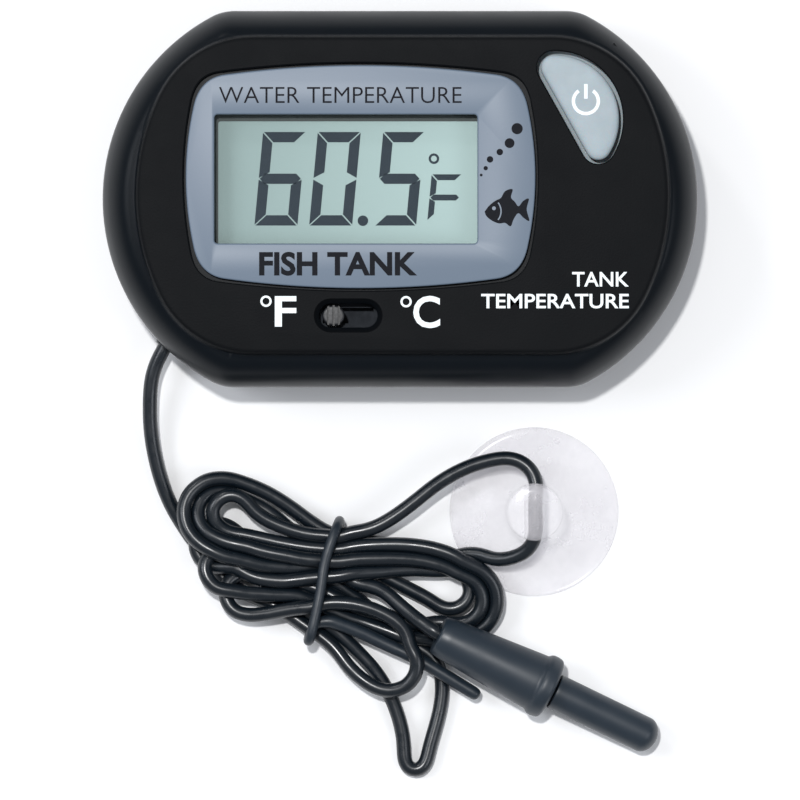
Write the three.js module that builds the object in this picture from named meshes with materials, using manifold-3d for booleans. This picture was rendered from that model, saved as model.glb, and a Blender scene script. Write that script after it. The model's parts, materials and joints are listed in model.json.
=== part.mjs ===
// Digital aquarium thermometer: an oval two-part case with a liquid crystal display, a thin cord
// wound in a tied bundle, a suction cup on the cord and a temperature probe at its end.
// Millimetres, +Z up. The case lies on its back: the origin is the centre of its back face,
// +X runs along its length and +Y to its top edge.

import * as THREE from 'three';
import { mergeVertices } from 'three/addons/utils/BufferGeometryUtils.js';
import Module from 'manifold-3d';

const wasm = await Module();
wasm.setup();

// Driving dimensions: case -------------------------------------------------------------------

const END_RADIUS = 21.25;                     // large arc at each end of the case
const END_CENTRE = 9.25;                      // its centre, along X
const HALF_HEIGHT = 19.3;                     // centre line to the flat top and bottom edges
const CORNER_RADIUS = 5;                      // blend between a flat edge and an end arc
const FACE_Z = 15;                            // front face
const SPLIT_Z = 6.4;                          // where the two shells meet
const FLOOR = 1.6;                            // floor and wall thickness
const WALL_INSET = 1.8;                       // inner wall, measured in from the outline
const CEILING_Z = 13.4;                       // underside of the front face
const END_STEPS = 12;                         // facets round each end arc

const LABEL = { x: -4.03, y: 2.23, width: 35.75, height: 22.8, bulgeX: 0.8, bulgeY: 0.95, corner: 3.2 };
const WINDOW = { x: -5.54, y: 2, width: 26.9, height: 13.2 };
const LCD = { x: -5.5, y: 2, width: 29, height: 17.2 };
const BUTTON = { x: 15.8, y: 8.1, radius: 6.6, chord: 1.2, corner: 1.3, towards: 29.2 };
const SWITCH = { x: -5.3, y: -11.96, travel: 3 };
const WELL = { x: 16.9, y: -7.3, bore: 5.95, radius: 6.7 };

const BOARD_Z = 8;                            // underside of the circuit board
const BOARD_TOP = 9;
const CASE_SCREWS = [[-17, 14.3], [-17, -14.3], [2.5, -15.2], [24.3, 3]];
const BOARD_SCREWS = [[-24.5, 0], [8.2, 15], [9, -14]];

// Driving dimensions: cord, cup and probe ----------------------------------------------------

const CORD_RADIUS = 0.75;
const GAP = 0.3;                              // air between the cord's pieces and what they meet
const EXIT = { x: -24, y: -14.8, z: 3.5, towards: 236 };
const CUP = { x: 13.8, y: -32.1, radius: 8.7, holeZ: 5.6, holeRadius: 1.05, slide: 0.2 };
const PROBE_START = new THREE.Vector3(3.9, -44.7, 4.5);
const PROBE_END = new THREE.Vector3(26.3, -55.6, 2.1);
const BUNDLE_HEIGHT = 4.2;
const TIE_RADIUS = 0.52;
const TAIL_RADIUS = 0.68;

// Materials ----------------------------------------------------------------------------------

const material = (color, roughness, metalness = 0, opacity = 1) =>
  new THREE.MeshStandardMaterial({ color, roughness, metalness, opacity, transparent: opacity < 1 });

const caseBlack = material(0x1b1e24, 0.5);
const labelBlue = material(0x7e8c9c, 0.45);
const clearPlastic = material(0xe8eef0, 0.08, 0, 0.3);
const lcdGlass = material(0xa8bcb4, 0.1, 0, 0.6);
const lcdReflector = material(0xb4c4c0, 0.35);
const paleSilicone = material(0xb9c6cb, 0.6);
const carbonRubber = material(0x202224, 0.8);
const switchBlack = material(0x15171a, 0.45);
const circuitBoard = material(0x2f6b42, 0.5);
const chipEpoxy = material(0x101214, 0.35);
const nickelSteel = material(0xc8c8c4, 0.3, 1);
const goldPlate = material(0xc9a657, 0.3, 1);
const ceramic = material(0xa98a66, 0.6);
const cordBlack = material(0x16212b, 0.3);
const probeBlack = material(0x22323c, 0.4);
const cupVinyl = material(0xf2f2f6, 0.1, 0, 0.4);
const copper = material(0xb87345, 0.4, 1);
const epoxyBead = material(0x2c2a26, 0.4);

// Solids from three.js geometry --------------------------------------------------------------

// Merges the shared corners of a geometry and drops the empty triangles at a lathe's poles.
function weld(geometry) {
  const bare = geometry.clone();
  bare.deleteAttribute('normal');
  bare.deleteAttribute('uv');
  const welded = mergeVertices(bare, 1e-4);
  const corners = welded.index.array;
  const kept = [];
  for (let i = 0; i < corners.length; i += 3) {
    const [a, b, c] = [corners[i], corners[i + 1], corners[i + 2]];
    if (a !== b && b !== c && c !== a) kept.push(a, b, c);
  }
  welded.setIndex(kept);
  return welded;
}

function solid(geometry) {
  const welded = weld(geometry);
  const mesh = new wasm.Mesh({
    numProp: 3,
    vertProperties: new Float32Array(welded.attributes.position.array),
    triVerts: new Uint32Array(welded.index.array),
  });
  return new wasm.Manifold(mesh);
}

function geometryOf(shape) {
  const mesh = shape.getMesh();
  const geometry = new THREE.BufferGeometry();
  geometry.setAttribute('position', new THREE.BufferAttribute(new Float32Array(mesh.vertProperties), 3));
  geometry.setIndex(Array.from(mesh.triVerts));
  return geometry;
}

// The first solid joined with the others.
const joined = (first, ...others) => others.reduce((whole, other) => whole.add(other), first);

// The first solid with the others cut out of it.
const cut = (first, ...others) => others.reduce((whole, other) => whole.subtract(other), first);

function box(x0, x1, y0, y1, z0, z1) {
  const geometry = new THREE.BoxGeometry(x1 - x0, y1 - y0, z1 - z0);
  return solid(geometry.translate((x0 + x1) / 2, (y0 + y1) / 2, (z0 + z1) / 2));
}

function centredBox(x, y, width, height, z0, z1) {
  return box(x - width / 2, x + width / 2, y - height / 2, y + height / 2, z0, z1);
}

function disc(x, y, radius, z0, z1, sides = 24) {
  const geometry = new THREE.CylinderGeometry(radius, radius, z1 - z0, sides);
  return solid(geometry.rotateX(Math.PI / 2).translate(x, y, (z0 + z1) / 2));
}

function prism(shape, z0, z1, curveSegments = 8) {
  const geometry = new THREE.ExtrudeGeometry(shape, { depth: z1 - z0, bevelEnabled: false, curveSegments });
  return solid(geometry.translate(0, 0, z0));
}

// A solid of revolution about Z through (x, y). The profile is [radius, z] from bottom to top.
function turned(profile, x = 0, y = 0, sides = 24) {
  const points = profile.map(([radius, z]) => new THREE.Vector2(radius, z));
  const geometry = new THREE.LatheGeometry(points, sides);
  return solid(geometry.rotateX(Math.PI / 2).translate(x, y, 0));
}

// A closed body through convex outlines of equal point count, one for each [inset, z] level.
function lofted(outlineAt, levels) {
  const positions = [];
  const faces = [];
  const count = outlineAt(levels[0][0]).length;
  for (const [inset, z] of levels) {
    for (const point of outlineAt(inset)) positions.push(point.x, point.y, z);
  }
  for (let level = 0; level + 1 < levels.length; level++) {
    for (let i = 0; i < count; i++) {
      const a = level * count + i;
      const b = level * count + (i + 1) % count;
      faces.push(a, b, b + count, a, b + count, a + count);
    }
  }
  const top = (levels.length - 1) * count;
  for (let i = 1; i + 1 < count; i++) {
    faces.push(0, i + 1, i, top, top + i, top + i + 1);
  }
  const geometry = new THREE.BufferGeometry();
  geometry.setAttribute('position', new THREE.Float32BufferAttribute(positions, 3));
  geometry.setIndex(faces);
  return solid(geometry);
}

// A round bar along a smooth curve through the points.
function bar(points, radius, steps, sides = 8) {
  const path = new THREE.CatmullRomCurve3(points.map((point) => new THREE.Vector3(...point)), false, 'centripetal');
  const section = new THREE.Shape();
  for (let i = 0; i < sides; i++) {
    const angle = (i / sides) * 2 * Math.PI;
    const [u, v] = [radius * Math.cos(angle), radius * Math.sin(angle)];
    if (i === 0) section.moveTo(u, v);
    else section.lineTo(u, v);
  }
  return solid(new THREE.ExtrudeGeometry(section, { steps, extrudePath: path, bevelEnabled: false }));
}

const radians = THREE.MathUtils.degToRad;

function arcPoints(x, y, radius, from, to, steps) {
  const points = [];
  for (let i = 0; i <= steps; i++) {
    const angle = radians(from + ((to - from) * i) / steps);
    points.push(new THREE.Vector2(x + radius * Math.cos(angle), y + radius * Math.sin(angle)));
  }
  return points;
}

// Outlines -----------------------------------------------------------------------------------

// The case outline, moved in by an inset: two end arcs, two flat edges, four corner arcs.
function caseOutline(inset) {
  const cornerY = HALF_HEIGHT - CORNER_RADIUS;
  const cornerX = END_CENTRE + Math.sqrt((END_RADIUS - CORNER_RADIUS) ** 2 - cornerY ** 2);
  const turn = THREE.MathUtils.radToDeg(Math.atan2(cornerY, cornerX - END_CENTRE));
  const end = END_RADIUS - inset;
  const corner = CORNER_RADIUS - inset;
  return [
    ...arcPoints(END_CENTRE, 0, end, -turn, turn, END_STEPS),
    ...arcPoints(cornerX, cornerY, corner, turn, 90, 3).slice(1),
    ...arcPoints(-cornerX, cornerY, corner, 90, 180 - turn, 3),
    ...arcPoints(-END_CENTRE, 0, end, 180 - turn, 180 + turn, END_STEPS).slice(1),
    ...arcPoints(-cornerX, -cornerY, corner, 180 + turn, 270, 3).slice(1),
    ...arcPoints(cornerX, -cornerY, corner, 270, 360 - turn, 3).slice(0, -1),
  ];
}

// The power button: a circle cut by a chord, with rounded corners, moved in by an inset.
function buttonOutline(inset) {
  const along = BUTTON.chord + BUTTON.corner;
  const across = Math.sqrt((BUTTON.radius - BUTTON.corner) ** 2 - along ** 2);
  const half = THREE.MathUtils.radToDeg(Math.atan2(across, along));
  const corner = BUTTON.corner - inset;
  const points = [
    ...arcPoints(0, 0, BUTTON.radius - inset, -half, half, 12),
    ...arcPoints(along, across, corner, half, 180, 4).slice(1),
    ...arcPoints(along, -across, corner, 180, 360 - half, 4).slice(0, -1),
  ];
  const centre = new THREE.Vector2(0, 0);
  const place = new THREE.Vector2(BUTTON.x, BUTTON.y);
  return points.map((point) => point.rotateAround(centre, radians(BUTTON.towards)).add(place));
}

// A rectangle whose sides swell outwards, with rounded corners, made larger by grow.
function labelShape(grow) {
  const halfX = LABEL.width / 2 + grow;
  const halfY = LABEL.height / 2 + grow;
  const cornerX = halfX - LABEL.bulgeX;
  const cornerY = halfY - LABEL.bulgeY;
  const [startX, startY] = [cornerX - LABEL.corner, cornerY - LABEL.corner];
  const shape = new THREE.Shape();
  const at = (x, y) => [LABEL.x + x, LABEL.y + y];
  shape.moveTo(...at(-startX, -cornerY));
  shape.quadraticCurveTo(...at(0, -2 * halfY + cornerY), ...at(startX, -cornerY));
  shape.quadraticCurveTo(...at(cornerX, -cornerY + 0.35), ...at(cornerX, -startY));
  shape.quadraticCurveTo(...at(2 * halfX - cornerX, 0), ...at(cornerX, startY));
  shape.quadraticCurveTo(...at(cornerX, cornerY - 0.35), ...at(startX, cornerY));
  shape.quadraticCurveTo(...at(0, 2 * halfY - cornerY), ...at(-startX, cornerY));
  shape.quadraticCurveTo(...at(-cornerX, cornerY - 0.35), ...at(-cornerX, startY));
  shape.quadraticCurveTo(...at(-2 * halfX + cornerX, 0), ...at(-cornerX, -startY));
  shape.quadraticCurveTo(...at(-cornerX, -cornerY + 0.35), ...at(-startX, -cornerY));
  return shape;
}

// An outline with round ends, lying along X on the switch's line, for lofted().
function slotOutline(x, width, height) {
  return (inset) => {
    const reach = (width - height) / 2;
    const radius = height / 2 - inset;
    return [
      ...arcPoints(x + reach, SWITCH.y, radius, -90, 90, 7),
      ...arcPoints(x - reach, SWITCH.y, radius, 90, 270, 7),
    ];
  };
}

// Part of a ring about the battery well's axis, centred on an angle.
function ringSector(inner, outer, angle, halfWidth) {
  const shape = new THREE.Shape();
  shape.absarc(WELL.x, WELL.y, outer, radians(angle - halfWidth), radians(angle + halfWidth), false);
  shape.absarc(WELL.x, WELL.y, inner, radians(angle + halfWidth), radians(angle - halfWidth), true);
  return shape;
}

// The model ----------------------------------------------------------------------------------

const thermometer = new THREE.Group();

function add(name, shape, finish, parent = thermometer) {
  const mesh = new THREE.Mesh(geometryOf(shape), finish);
  mesh.name = name;
  parent.add(mesh);
  return mesh;
}

// Battery cover: the bayonet tabs point up and down at rest and leave their groove after 60 degrees.
const COVER = { radius: 6.5, hole: 6.8, bottom: 0.25, top: 1.4, turn: 60, tabAngles: [90, 270], tabHalf: 12 };
const GROOVE = { radius: 8.1, top: 3, outer: 8.9 };
const MINUS_ANGLE = 200;                      // where the negative contact leaves the well
const PLUS_ANGLE = 225;                       // where the positive contact reaches the board
const GLAND_HOLE = 1.4;
const SCREW_HOLE = 1.15;

// Moves a solid made about the origin to the well's axis and turns it by an angle about Z.
const aboutWell = (shape, angle) => shape.rotate([0, 0, angle]).translate([WELL.x, WELL.y, 0]);

// A cylinder along the cord exit's axis; positive distances are outside the case.
function alongExit(radius, from, to, sides = 20) {
  const geometry = new THREE.CylinderGeometry(radius, radius, to - from, sides);
  geometry.translate(0, (from + to) / 2, 0).rotateZ(radians(EXIT.towards - 90));
  return solid(geometry.translate(EXIT.x, EXIT.y, EXIT.z));
}

function backShell() {
  const outer = lofted(caseOutline, [[1.6, 0], [0.6, 0.6], [0.3, 1.6], [0.2, SPLIT_Z], [1.15, SPLIT_Z], [1.15, 7.3]]);
  const inside = lofted(caseOutline, [[WALL_INSET, FLOOR], [WALL_INSET, 8]]);
  const posts = CASE_SCREWS.map(([x, y]) => disc(x, y, 2.6, 1, 6, 14));
  const boss = disc(WELL.x, WELL.y, GROOVE.outer, 1, GROOVE.top + 0.8, 28);
  const well = disc(WELL.x, WELL.y, WELL.radius, 1, 12.6, 28);
  const holes = CASE_SCREWS.flatMap(([x, y]) => [disc(x, y, 2.1, -1, 2.1, 16), disc(x, y, SCREW_HOLE, 0, 7, 10)]);
  const notches = COVER.tabAngles.map((angle) =>
    prism(ringSector(COVER.hole - 0.3, GROOVE.radius, angle + COVER.turn, COVER.tabHalf + 3), -1, FLOOR + 0.5));
  return cut(
    joined(cut(outer, inside), ...posts, boss, well),
    disc(WELL.x, WELL.y, COVER.hole, -1, FLOOR + 0.1, 28),
    disc(WELL.x, WELL.y, GROOVE.radius, FLOOR, GROOVE.top, 28),
    disc(WELL.x, WELL.y, WELL.bore, FLOOR, 13, 28),
    aboutWell(box(5.4, 7.2, -1.1, 1.1, 2.8, 13), MINUS_ANGLE),
    ...notches,
    ...holes,
    alongExit(GLAND_HOLE, -4, 2),
  );
}

function frontShell() {
  const outer = lofted(caseOutline, [
    [0.15, SPLIT_Z + 0.1], [0, 8.6], [0.25, 10.2], [0.9, 11.9], [1.8, 13.1], [2.6, 13.6], [2.75, 13.75],
    [2.95, 14.6], [3.3, FACE_Z],
  ]);
  const inside = lofted(caseOutline, [
    [1, SPLIT_Z], [1, 7.5], [1.75, 7.5], [1.75, 9.5], [2.3, 11.5], [3.3, 12.9], [3.9, CEILING_Z],
  ]);
  const caseBosses = CASE_SCREWS.map(([x, y]) => disc(x, y, 2.2, 6.3, 13.5, 14));
  const boardBosses = BOARD_SCREWS.map(([x, y]) => disc(x, y, 1.9, BOARD_TOP + 0.05, 13.5, 14));
  const bosses = joined(...caseBosses, ...boardBosses).intersect(outer);
  return cut(
    cut(outer, inside).add(bosses),
    ...CASE_SCREWS.map(([x, y]) => disc(x, y, SCREW_HOLE, 6, 11, 10)),
    ...BOARD_SCREWS.map(([x, y]) => disc(x, y, 0.85, BOARD_TOP, 12.2, 10)),
    prism(labelShape(0.25), 14, 16),
    centredBox(WINDOW.x, WINDOW.y, 28.5, 14.8, 12, 15),
    lofted(buttonOutline, [[-0.4, 12], [-0.4, 14.7], [-0.65, 16]]),
    lofted(slotOutline(SWITCH.x, 5.6, 2.5), [[0, 12], [0, 14.1], [-0.4, 14.5], [-0.5, 16]]),
  );
}

add('back_shell', backShell(), caseBlack);
add('front_shell', frontShell(), caseBlack);

// Display: label, window and liquid crystal cell ---------------------------------------------

const labelHole = centredBox(WINDOW.x, WINDOW.y, WINDOW.width, WINDOW.height, 13, 17);
add('label_panel', prism(labelShape(0), 14.05, 15.15).subtract(labelHole), labelBlue);
add('display_window', centredBox(WINDOW.x, WINDOW.y, 28.3, 14.6, 12.95, 13.95), clearPlastic);
add('lcd_front_glass', centredBox(LCD.x, LCD.y, LCD.width, LCD.height, 11.9, 12.6), lcdGlass);
add('lcd_back_glass', centredBox(LCD.x, LCD.y, LCD.width, 14.4, 11.15, 11.85), lcdGlass);
add('lcd_reflector', centredBox(LCD.x, LCD.y, LCD.width - 0.4, 14.2, 10.85, 11.1), lcdReflector);

for (const [name, side] of [['zebra_strip_upper', 1], ['zebra_strip_lower', -1]]) {
  add(name, centredBox(LCD.x, LCD.y + side * 7.95, LCD.width - 1, 1.1, BOARD_TOP + 0.05, 11.85), carbonRubber);
}

const holderBody = centredBox(LCD.x, LCD.y, LCD.width + 1.6, LCD.height + 1.8, BOARD_TOP + 0.05, 12.9);
const holderPocket = centredBox(LCD.x, LCD.y, LCD.width + 0.2, LCD.height + 0.2, BOARD_TOP, 12.65);
const holderLip = centredBox(LCD.x, LCD.y, LCD.width - 0.8, LCD.height - 2, 12, 13);
add('lcd_holder', cut(holderBody, holderPocket, holderLip), switchBlack);

// Circuit board and what is soldered to it ---------------------------------------------------

function mainBoard() {
  return cut(
    lofted(caseOutline, [[2.3, BOARD_Z], [2.3, BOARD_TOP]]),
    disc(WELL.x, WELL.y, 7.1, 7, 10, 28),
    ...CASE_SCREWS.map(([x, y]) => disc(x, y, 2.5, 7, 10, 14)),
    ...BOARD_SCREWS.map(([x, y]) => disc(x, y, 0.95, 7, 10, 10)),
  );
}

add('main_board', mainBoard(), circuitBoard);
add('chip_blob', turned([[0, 6.6], [1.6, 6.75], [3, 7.2], [4, 7.95], [0, 7.95]], -6, 3, 24), chipEpoxy);
add('watch_crystal', box(-15.5, -9.5, 6.5, 8.5, 5.9, 7.95), nickelSteel);
add('capacitor_a', box(2.4, 4.4, 5.4, 6.65, 6.7, 7.95), ceramic);
add('capacitor_b', box(2.4, 4.4, 1.6, 2.85, 6.7, 7.95), ceramic);
add('trim_resistor', box(-15, -13, -4.4, -3.15, 7.2, 7.95), chipEpoxy);

// Power button: a silicone key with a carbon pill under it -----------------------------------

const PILL = { x: BUTTON.x + 3.14, y: BUTTON.y + 1.76, radius: 1.8 };

const buttonFlange = lofted(buttonOutline, [[-0.6, 12.1], [-0.6, 12.9]]);
const buttonCap = lofted(buttonOutline, [[0, 12.5], [0, 15], [0.25, 15.35], [0.9, 15.5]]);
const buttonPlunger = disc(PILL.x, PILL.y, PILL.radius, 10.65, 12.3, 20);
add('power_button', joined(buttonCap, buttonFlange, buttonPlunger), paleSilicone);
add('button_contact_pill', disc(PILL.x, PILL.y, PILL.radius, 10.1, 10.62, 20), carbonRubber);
add('button_contact_pad', disc(PILL.x, PILL.y, 2.2, BOARD_TOP + 0.03, 9.15, 20), goldPlate);

// Unit switch: a slide switch that stands at the left end of its slot ------------------------

const KNOB_X = SWITCH.x - SWITCH.travel / 2;
const switchCan = centredBox(SWITCH.x, SWITCH.y, 9, 4.4, BOARD_TOP + 0.05, 12.25);
const switchTrack = centredBox(SWITCH.x, SWITCH.y, 5.2, 1.6, 10.2, 13);
add('unit_switch_body', switchCan.subtract(switchTrack), nickelSteel);

const knobStem = centredBox(KNOB_X, SWITCH.y, 1.4, 1, 10.4, 13);
const knobHead = lofted(slotOutline(KNOB_X, 2.3, 2.1), [[0, 12.6], [0, 14.2], [0.2, 14.4]]);
const knobGrooves = [-0.55, 0, 0.55].map((x) => centredBox(KNOB_X + x, SWITCH.y, 0.25, 3, 14.1, 15));
add('unit_switch_knob', cut(joined(knobHead, knobStem), ...knobGrooves), switchBlack);

// Battery: two button cells stacked in the well, their contacts and the coin-slot cover ------

function buttonCell(bottom) {
  return turned([
    [0, bottom], [4.7, bottom], [4.9, bottom + 0.4], [5.6, bottom + 0.5], [5.8, bottom + 0.8],
    [5.8, bottom + 5.2], [5.65, bottom + 5.35], [0, bottom + 5.35],
  ], WELL.x, WELL.y, 24);
}

add('battery_cell_lower', buttonCell(2), nickelSteel);
add('battery_cell_upper', buttonCell(7.4), nickelSteel);

const plusPlate = disc(0, 0, 5.2, 12.82, 13.1, 24);
const plusArm = box(0, 7.6, -0.8, 0.8, 12.82, 13.1);
const plusLeg = box(7.3, 7.6, -0.8, 0.8, BOARD_TOP + 0.05, 13.1);
add('battery_contact_plus', aboutWell(joined(plusPlate, plusArm, plusLeg), PLUS_ANGLE), nickelSteel);

const minusFinger = box(2, 6.4, -0.8, 0.8, 1.6, 1.88);
const minusStrip = box(6.1, 6.4, -0.8, 0.8, 1.6, 9.35);
const minusFoot = box(6.1, 8, -0.8, 0.8, BOARD_TOP + 0.05, 9.35);
add('battery_contact_minus', aboutWell(joined(minusFinger, minusStrip, minusFoot), MINUS_ANGLE), nickelSteel);

function batteryCover() {
  const plate = disc(WELL.x, WELL.y, COVER.radius, COVER.bottom, COVER.top, 28);
  const tabs = COVER.tabAngles.flatMap((angle) => [
    prism(ringSector(WELL.bore, COVER.radius - 0.05, angle, COVER.tabHalf), 1.2, 2.7, 4),
    prism(ringSector(WELL.bore, GROOVE.radius - 0.2, angle, COVER.tabHalf), 1.75, 2.7, 4),
  ]);
  return joined(plate, ...tabs).subtract(centredBox(WELL.x, WELL.y, 9, 1.6, 0, 0.95));
}

add('battery_cover', batteryCover(), caseBlack);

// Screws -------------------------------------------------------------------------------------

function screw([x, y], headRadius, headBottom, headTop, shankRadius, tip) {
  const body = turned([
    [0, headBottom], [headRadius * 0.7, headBottom], [headRadius, headBottom + 0.35], [headRadius, headTop],
    [shankRadius, headTop], [shankRadius, tip - 1], [0.2, tip], [0, tip],
  ], x, y, 12);
  const recess = [[1.9, 0.4], [0.4, 1.9]].map(([width, height]) =>
    centredBox(x, y, width, height, headBottom - 1, headBottom + 0.6));
  return cut(body, ...recess);
}

CASE_SCREWS.forEach((place, i) => {
  add(`case_screw_${i + 1}`, screw(place, 1.8, 0.7, 2.05, 0.95, 10.4), nickelSteel);
});
BOARD_SCREWS.forEach((place, i) => {
  add(`board_screw_${i + 1}`, screw(place, 1.5, 6.9, 7.95, 0.7, 11.6), nickelSteel);
});

// Cord exit: rubber gland and the two wires inside the case ----------------------------------

add('cord_gland', joined(alongExit(1.1, -2.9, 0.5), alongExit(1.6, -2.9, -2.05)), cordBlack);

for (const [name, side] of [['sensor_wire_a', -0.5], ['sensor_wire_b', 0.5]]) {
  const route = [
    [-22.15 - side * 0.83, -12.1 + side * 0.56, 3.5], [-20.6, -10 + side, 3.5], [-19.2, -8.6 + side, 4.6],
    [-18.4, -7.6 + side * 1.6, 6.2], [-18.2, -7.2 + side * 2, 7.9],
  ];
  add(name, bar(route, 0.35, 9, 6), side < 0 ? cordBlack : copper);
}

// Suction cup, threaded on the cord through the hole across its knob -------------------------

function suctionCup() {
  const body = turned([
    [0, 2.1], [3, 1.9], [6, 0.9], [7.9, 0], [CUP.radius, 0], [CUP.radius, 0.45], [8.1, 0.8], [6, 1.85],
    [3.9, 2.9], [3.1, 3.6], [2.95, 4.3], [2.95, 8], [2.7, 8.4], [0, 8.5],
  ], CUP.x, CUP.y, 28);
  const hole = new THREE.CylinderGeometry(CUP.holeRadius, CUP.holeRadius, 8, 16);
  return body.subtract(solid(hole.translate(CUP.x, CUP.y, CUP.holeZ)));
}

add('suction_cup', suctionCup(), cupVinyl);

// Probe: moulded grip, sensor tube and the thermistor inside, along one slanted axis ---------

const probe = new THREE.Group();
const probeAxis = PROBE_END.clone().sub(PROBE_START).normalize();
probe.position.copy(PROBE_START);
probe.quaternion.setFromUnitVectors(new THREE.Vector3(0, 0, 1), probeAxis);
thermometer.add(probe);

// Grows from the cord end to the collar; the spigot at the end carries the sensor tube.
const gripProfile = (grow) => [
  [0, -grow], [1.8 + grow, -grow], [2.1 + grow, 0.3], [2.95 + grow, 11], [2.95 + grow, 11.3], [3.25 + grow, 11.6],
  [3.3 + grow, 12.2], [3.2 + grow, 12.9], [2.7 + grow, 13.1 + grow],
];
add('probe_grip', turned([...gripProfile(0), [1.05, 13.1], [1.05, 15.4], [0, 15.4]], 0, 0, 20), probeBlack, probe);

const sensorTube = turned([
  [0, 13.4], [1.85, 13.4], [1.85, 24], [1.6, 24.6], [1, 24.95], [0, 25.05],
], 0, 0, 20).subtract(turned([[0, 13], [1.36, 13], [1.36, 23.6], [0.9, 24.2], [0, 24.3]], 0, 0, 12));
add('sensor_tube', sensorTube, probeBlack, probe);
add('thermistor_bead', turned([[0, 21], [0.6, 21.2], [0.85, 21.9], [0.6, 22.7], [0, 23]], 0, 0, 12), epoxyBead, probe);
add('thermistor_lead_a', disc(0.45, 0, 0.2, 15.7, 20.7, 8), copper, probe);
add('thermistor_lead_b', disc(-0.45, 0, 0.2, 15.7, 20.7, 8), copper, probe);

// Cord: its free stretches, and one plain body for the tied bundle ---------------------------

const LEAD_ROUTE = [
  [-24.45, -15.46, 3.5], [-25.05, -16.6, 3.1], [-25.5, -18.3, 2.1], [-25.72, -20.4, 1.1], [-25.75, -22.5, 0.78],
  [-25.5, -25.2, 0.77], [-24.95, -28, 0.77], [-24.2, -30.3, 0.77],
];
const CUP_LOOP_ROUTE = [
  [-2.1, -33.5, 1.3], [-0.4, -32.5, 0.85], [1.2, -31.3, 0.77], [3.7, -29.3, 1], [6.1, -27.9, 1.8], [8.6, -27, 2.75],
  [11, -26.8, 3.8], [12.7, -27.3, 4.8], [13.75, -28.5, 5.5], [13.9, -29.8, 5.6], [13.9, -32.1, 5.6],
  [13.9, -34.4, 5.6], [13.5, -35.6, 5.4], [12.5, -36.3, 4.8], [10.9, -36.7, 4],
];
const SMALL_LOOP_ROUTE = [
  [1.95, -47.95, 4.1], [1.55, -48.9, 4], [0.7, -49.8, 3.65], [-0.75, -50.45, 2.95], [-2.2, -50.4, 2.25],
  [-3.85, -49.5, 1.5], [-5.4, -48, 1.1], [-6.2, -46.75, 1.1],
];
const LONG_LOOP_ROUTE = [
  [-4.1, -46.85, 0.77], [-3.1, -47.9, 0.77], [-1.85, -49.4, 0.77], [-0.8, -51.6, 0.77], [0.1, -54, 0.77],
  [0.6, -56.2, 0.77], [0.75, -57.9, 0.77], [1.65, -59, 0.77], [2.7, -58.1, 0.77], [3.5, -55.8, 0.77],
  [4.2, -53.2, 0.77], [4.45, -50.8, 0.77], [4.35, -48.7, 0.77],
];
const PROBE_LEAD_ROUTE = [
  [-2, -40.4, 3.9], [-0.7, -41.3, 4.5], [1.2, -42.8, 4.9], [2.5, -43.9, 4.75], [3.62, -44.56, 4.53],
];

add('cord_lead', bar(LEAD_ROUTE, CORD_RADIUS, 12), cordBlack);
add('cord_cup_loop', bar(CUP_LOOP_ROUTE, CORD_RADIUS, 26), cordBlack);
add('cord_small_loop', bar(SMALL_LOOP_ROUTE, CORD_RADIUS, 12), cordBlack);
add('cord_long_loop', bar(LONG_LOOP_ROUTE, CORD_RADIUS, 18), cordBlack);
add('cord_probe_lead', bar(PROBE_LEAD_ROUTE, CORD_RADIUS, 6), cordBlack);

// Tie: a coated wire once round the bundle, with a straight tail -----------------------------

const TIE_ROUTE = [
  [-9.1, -45.3, 0.52], [-8.6, -43, 0.52], [-8, -39.6, 0.52], [-6.9, -35.4, 0.52], [-6.4, -33.7, 0.7],
  [-6.2, -33, 2.3], [-6.5, -33.7, 4.4], [-7.1, -35.2, 5], [-7.8, -37.6, 5], [-8.15, -40, 5], [-8.7, -42.8, 5],
  [-9.2, -44.9, 4.4], [-9.45, -45.5, 3.4], [-9.3, -44.8, 2.6], [-8.9, -43.7, 2.4],
  [-8.2, -43, 2.4],
];
const TAIL_ROUTE = [
  [-8.7, -42.9, 2.4], [-7.2, -43.3, 2.4], [-4.4, -44.35, 2.4], [-1.3, -45.8, 2.4], [1.72, -47.2, 2.4],
  [3.95, -48.5, 2.4], [7.6, -50.75, 2.4],
];

const tieRing = bar(TIE_ROUTE, TIE_RADIUS, 30);
const tieTail = bar(TAIL_ROUTE, TAIL_RADIUS, 10);
add('cord_tie', joined(tieRing, tieTail), probeBlack);

// The bundle's outer shape, with room for the tie, the grip, the cup and the lead to the probe.
const BUNDLE_OUTLINE = [
  [-18.2, -28.1], [-21.2, -28.9], [-23.1, -30.9], [-23.3, -32.2], [-22.4, -34], [-21.1, -36.3], [-20.9, -37.8],
  [-19.9, -39.3], [-18.4, -41.3], [-17.7, -42.9], [-15.1, -43.6], [-12.9, -43.2], [-8.5, -44.8], [-5, -45.2],
  [-1.8, -46.2], [1.3, -47.2], [4, -47.3], [7, -46.2], [9.3, -44.3], [10.5, -42.3], [10.5, -40], [9.3, -37.9],
  [6.5, -36.2], [3.8, -35.2], [0.4, -34.8], [-2.9, -34.8], [-6.5, -33.9], [-11.2, -30.6], [-14.8, -28.5],
];

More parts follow.
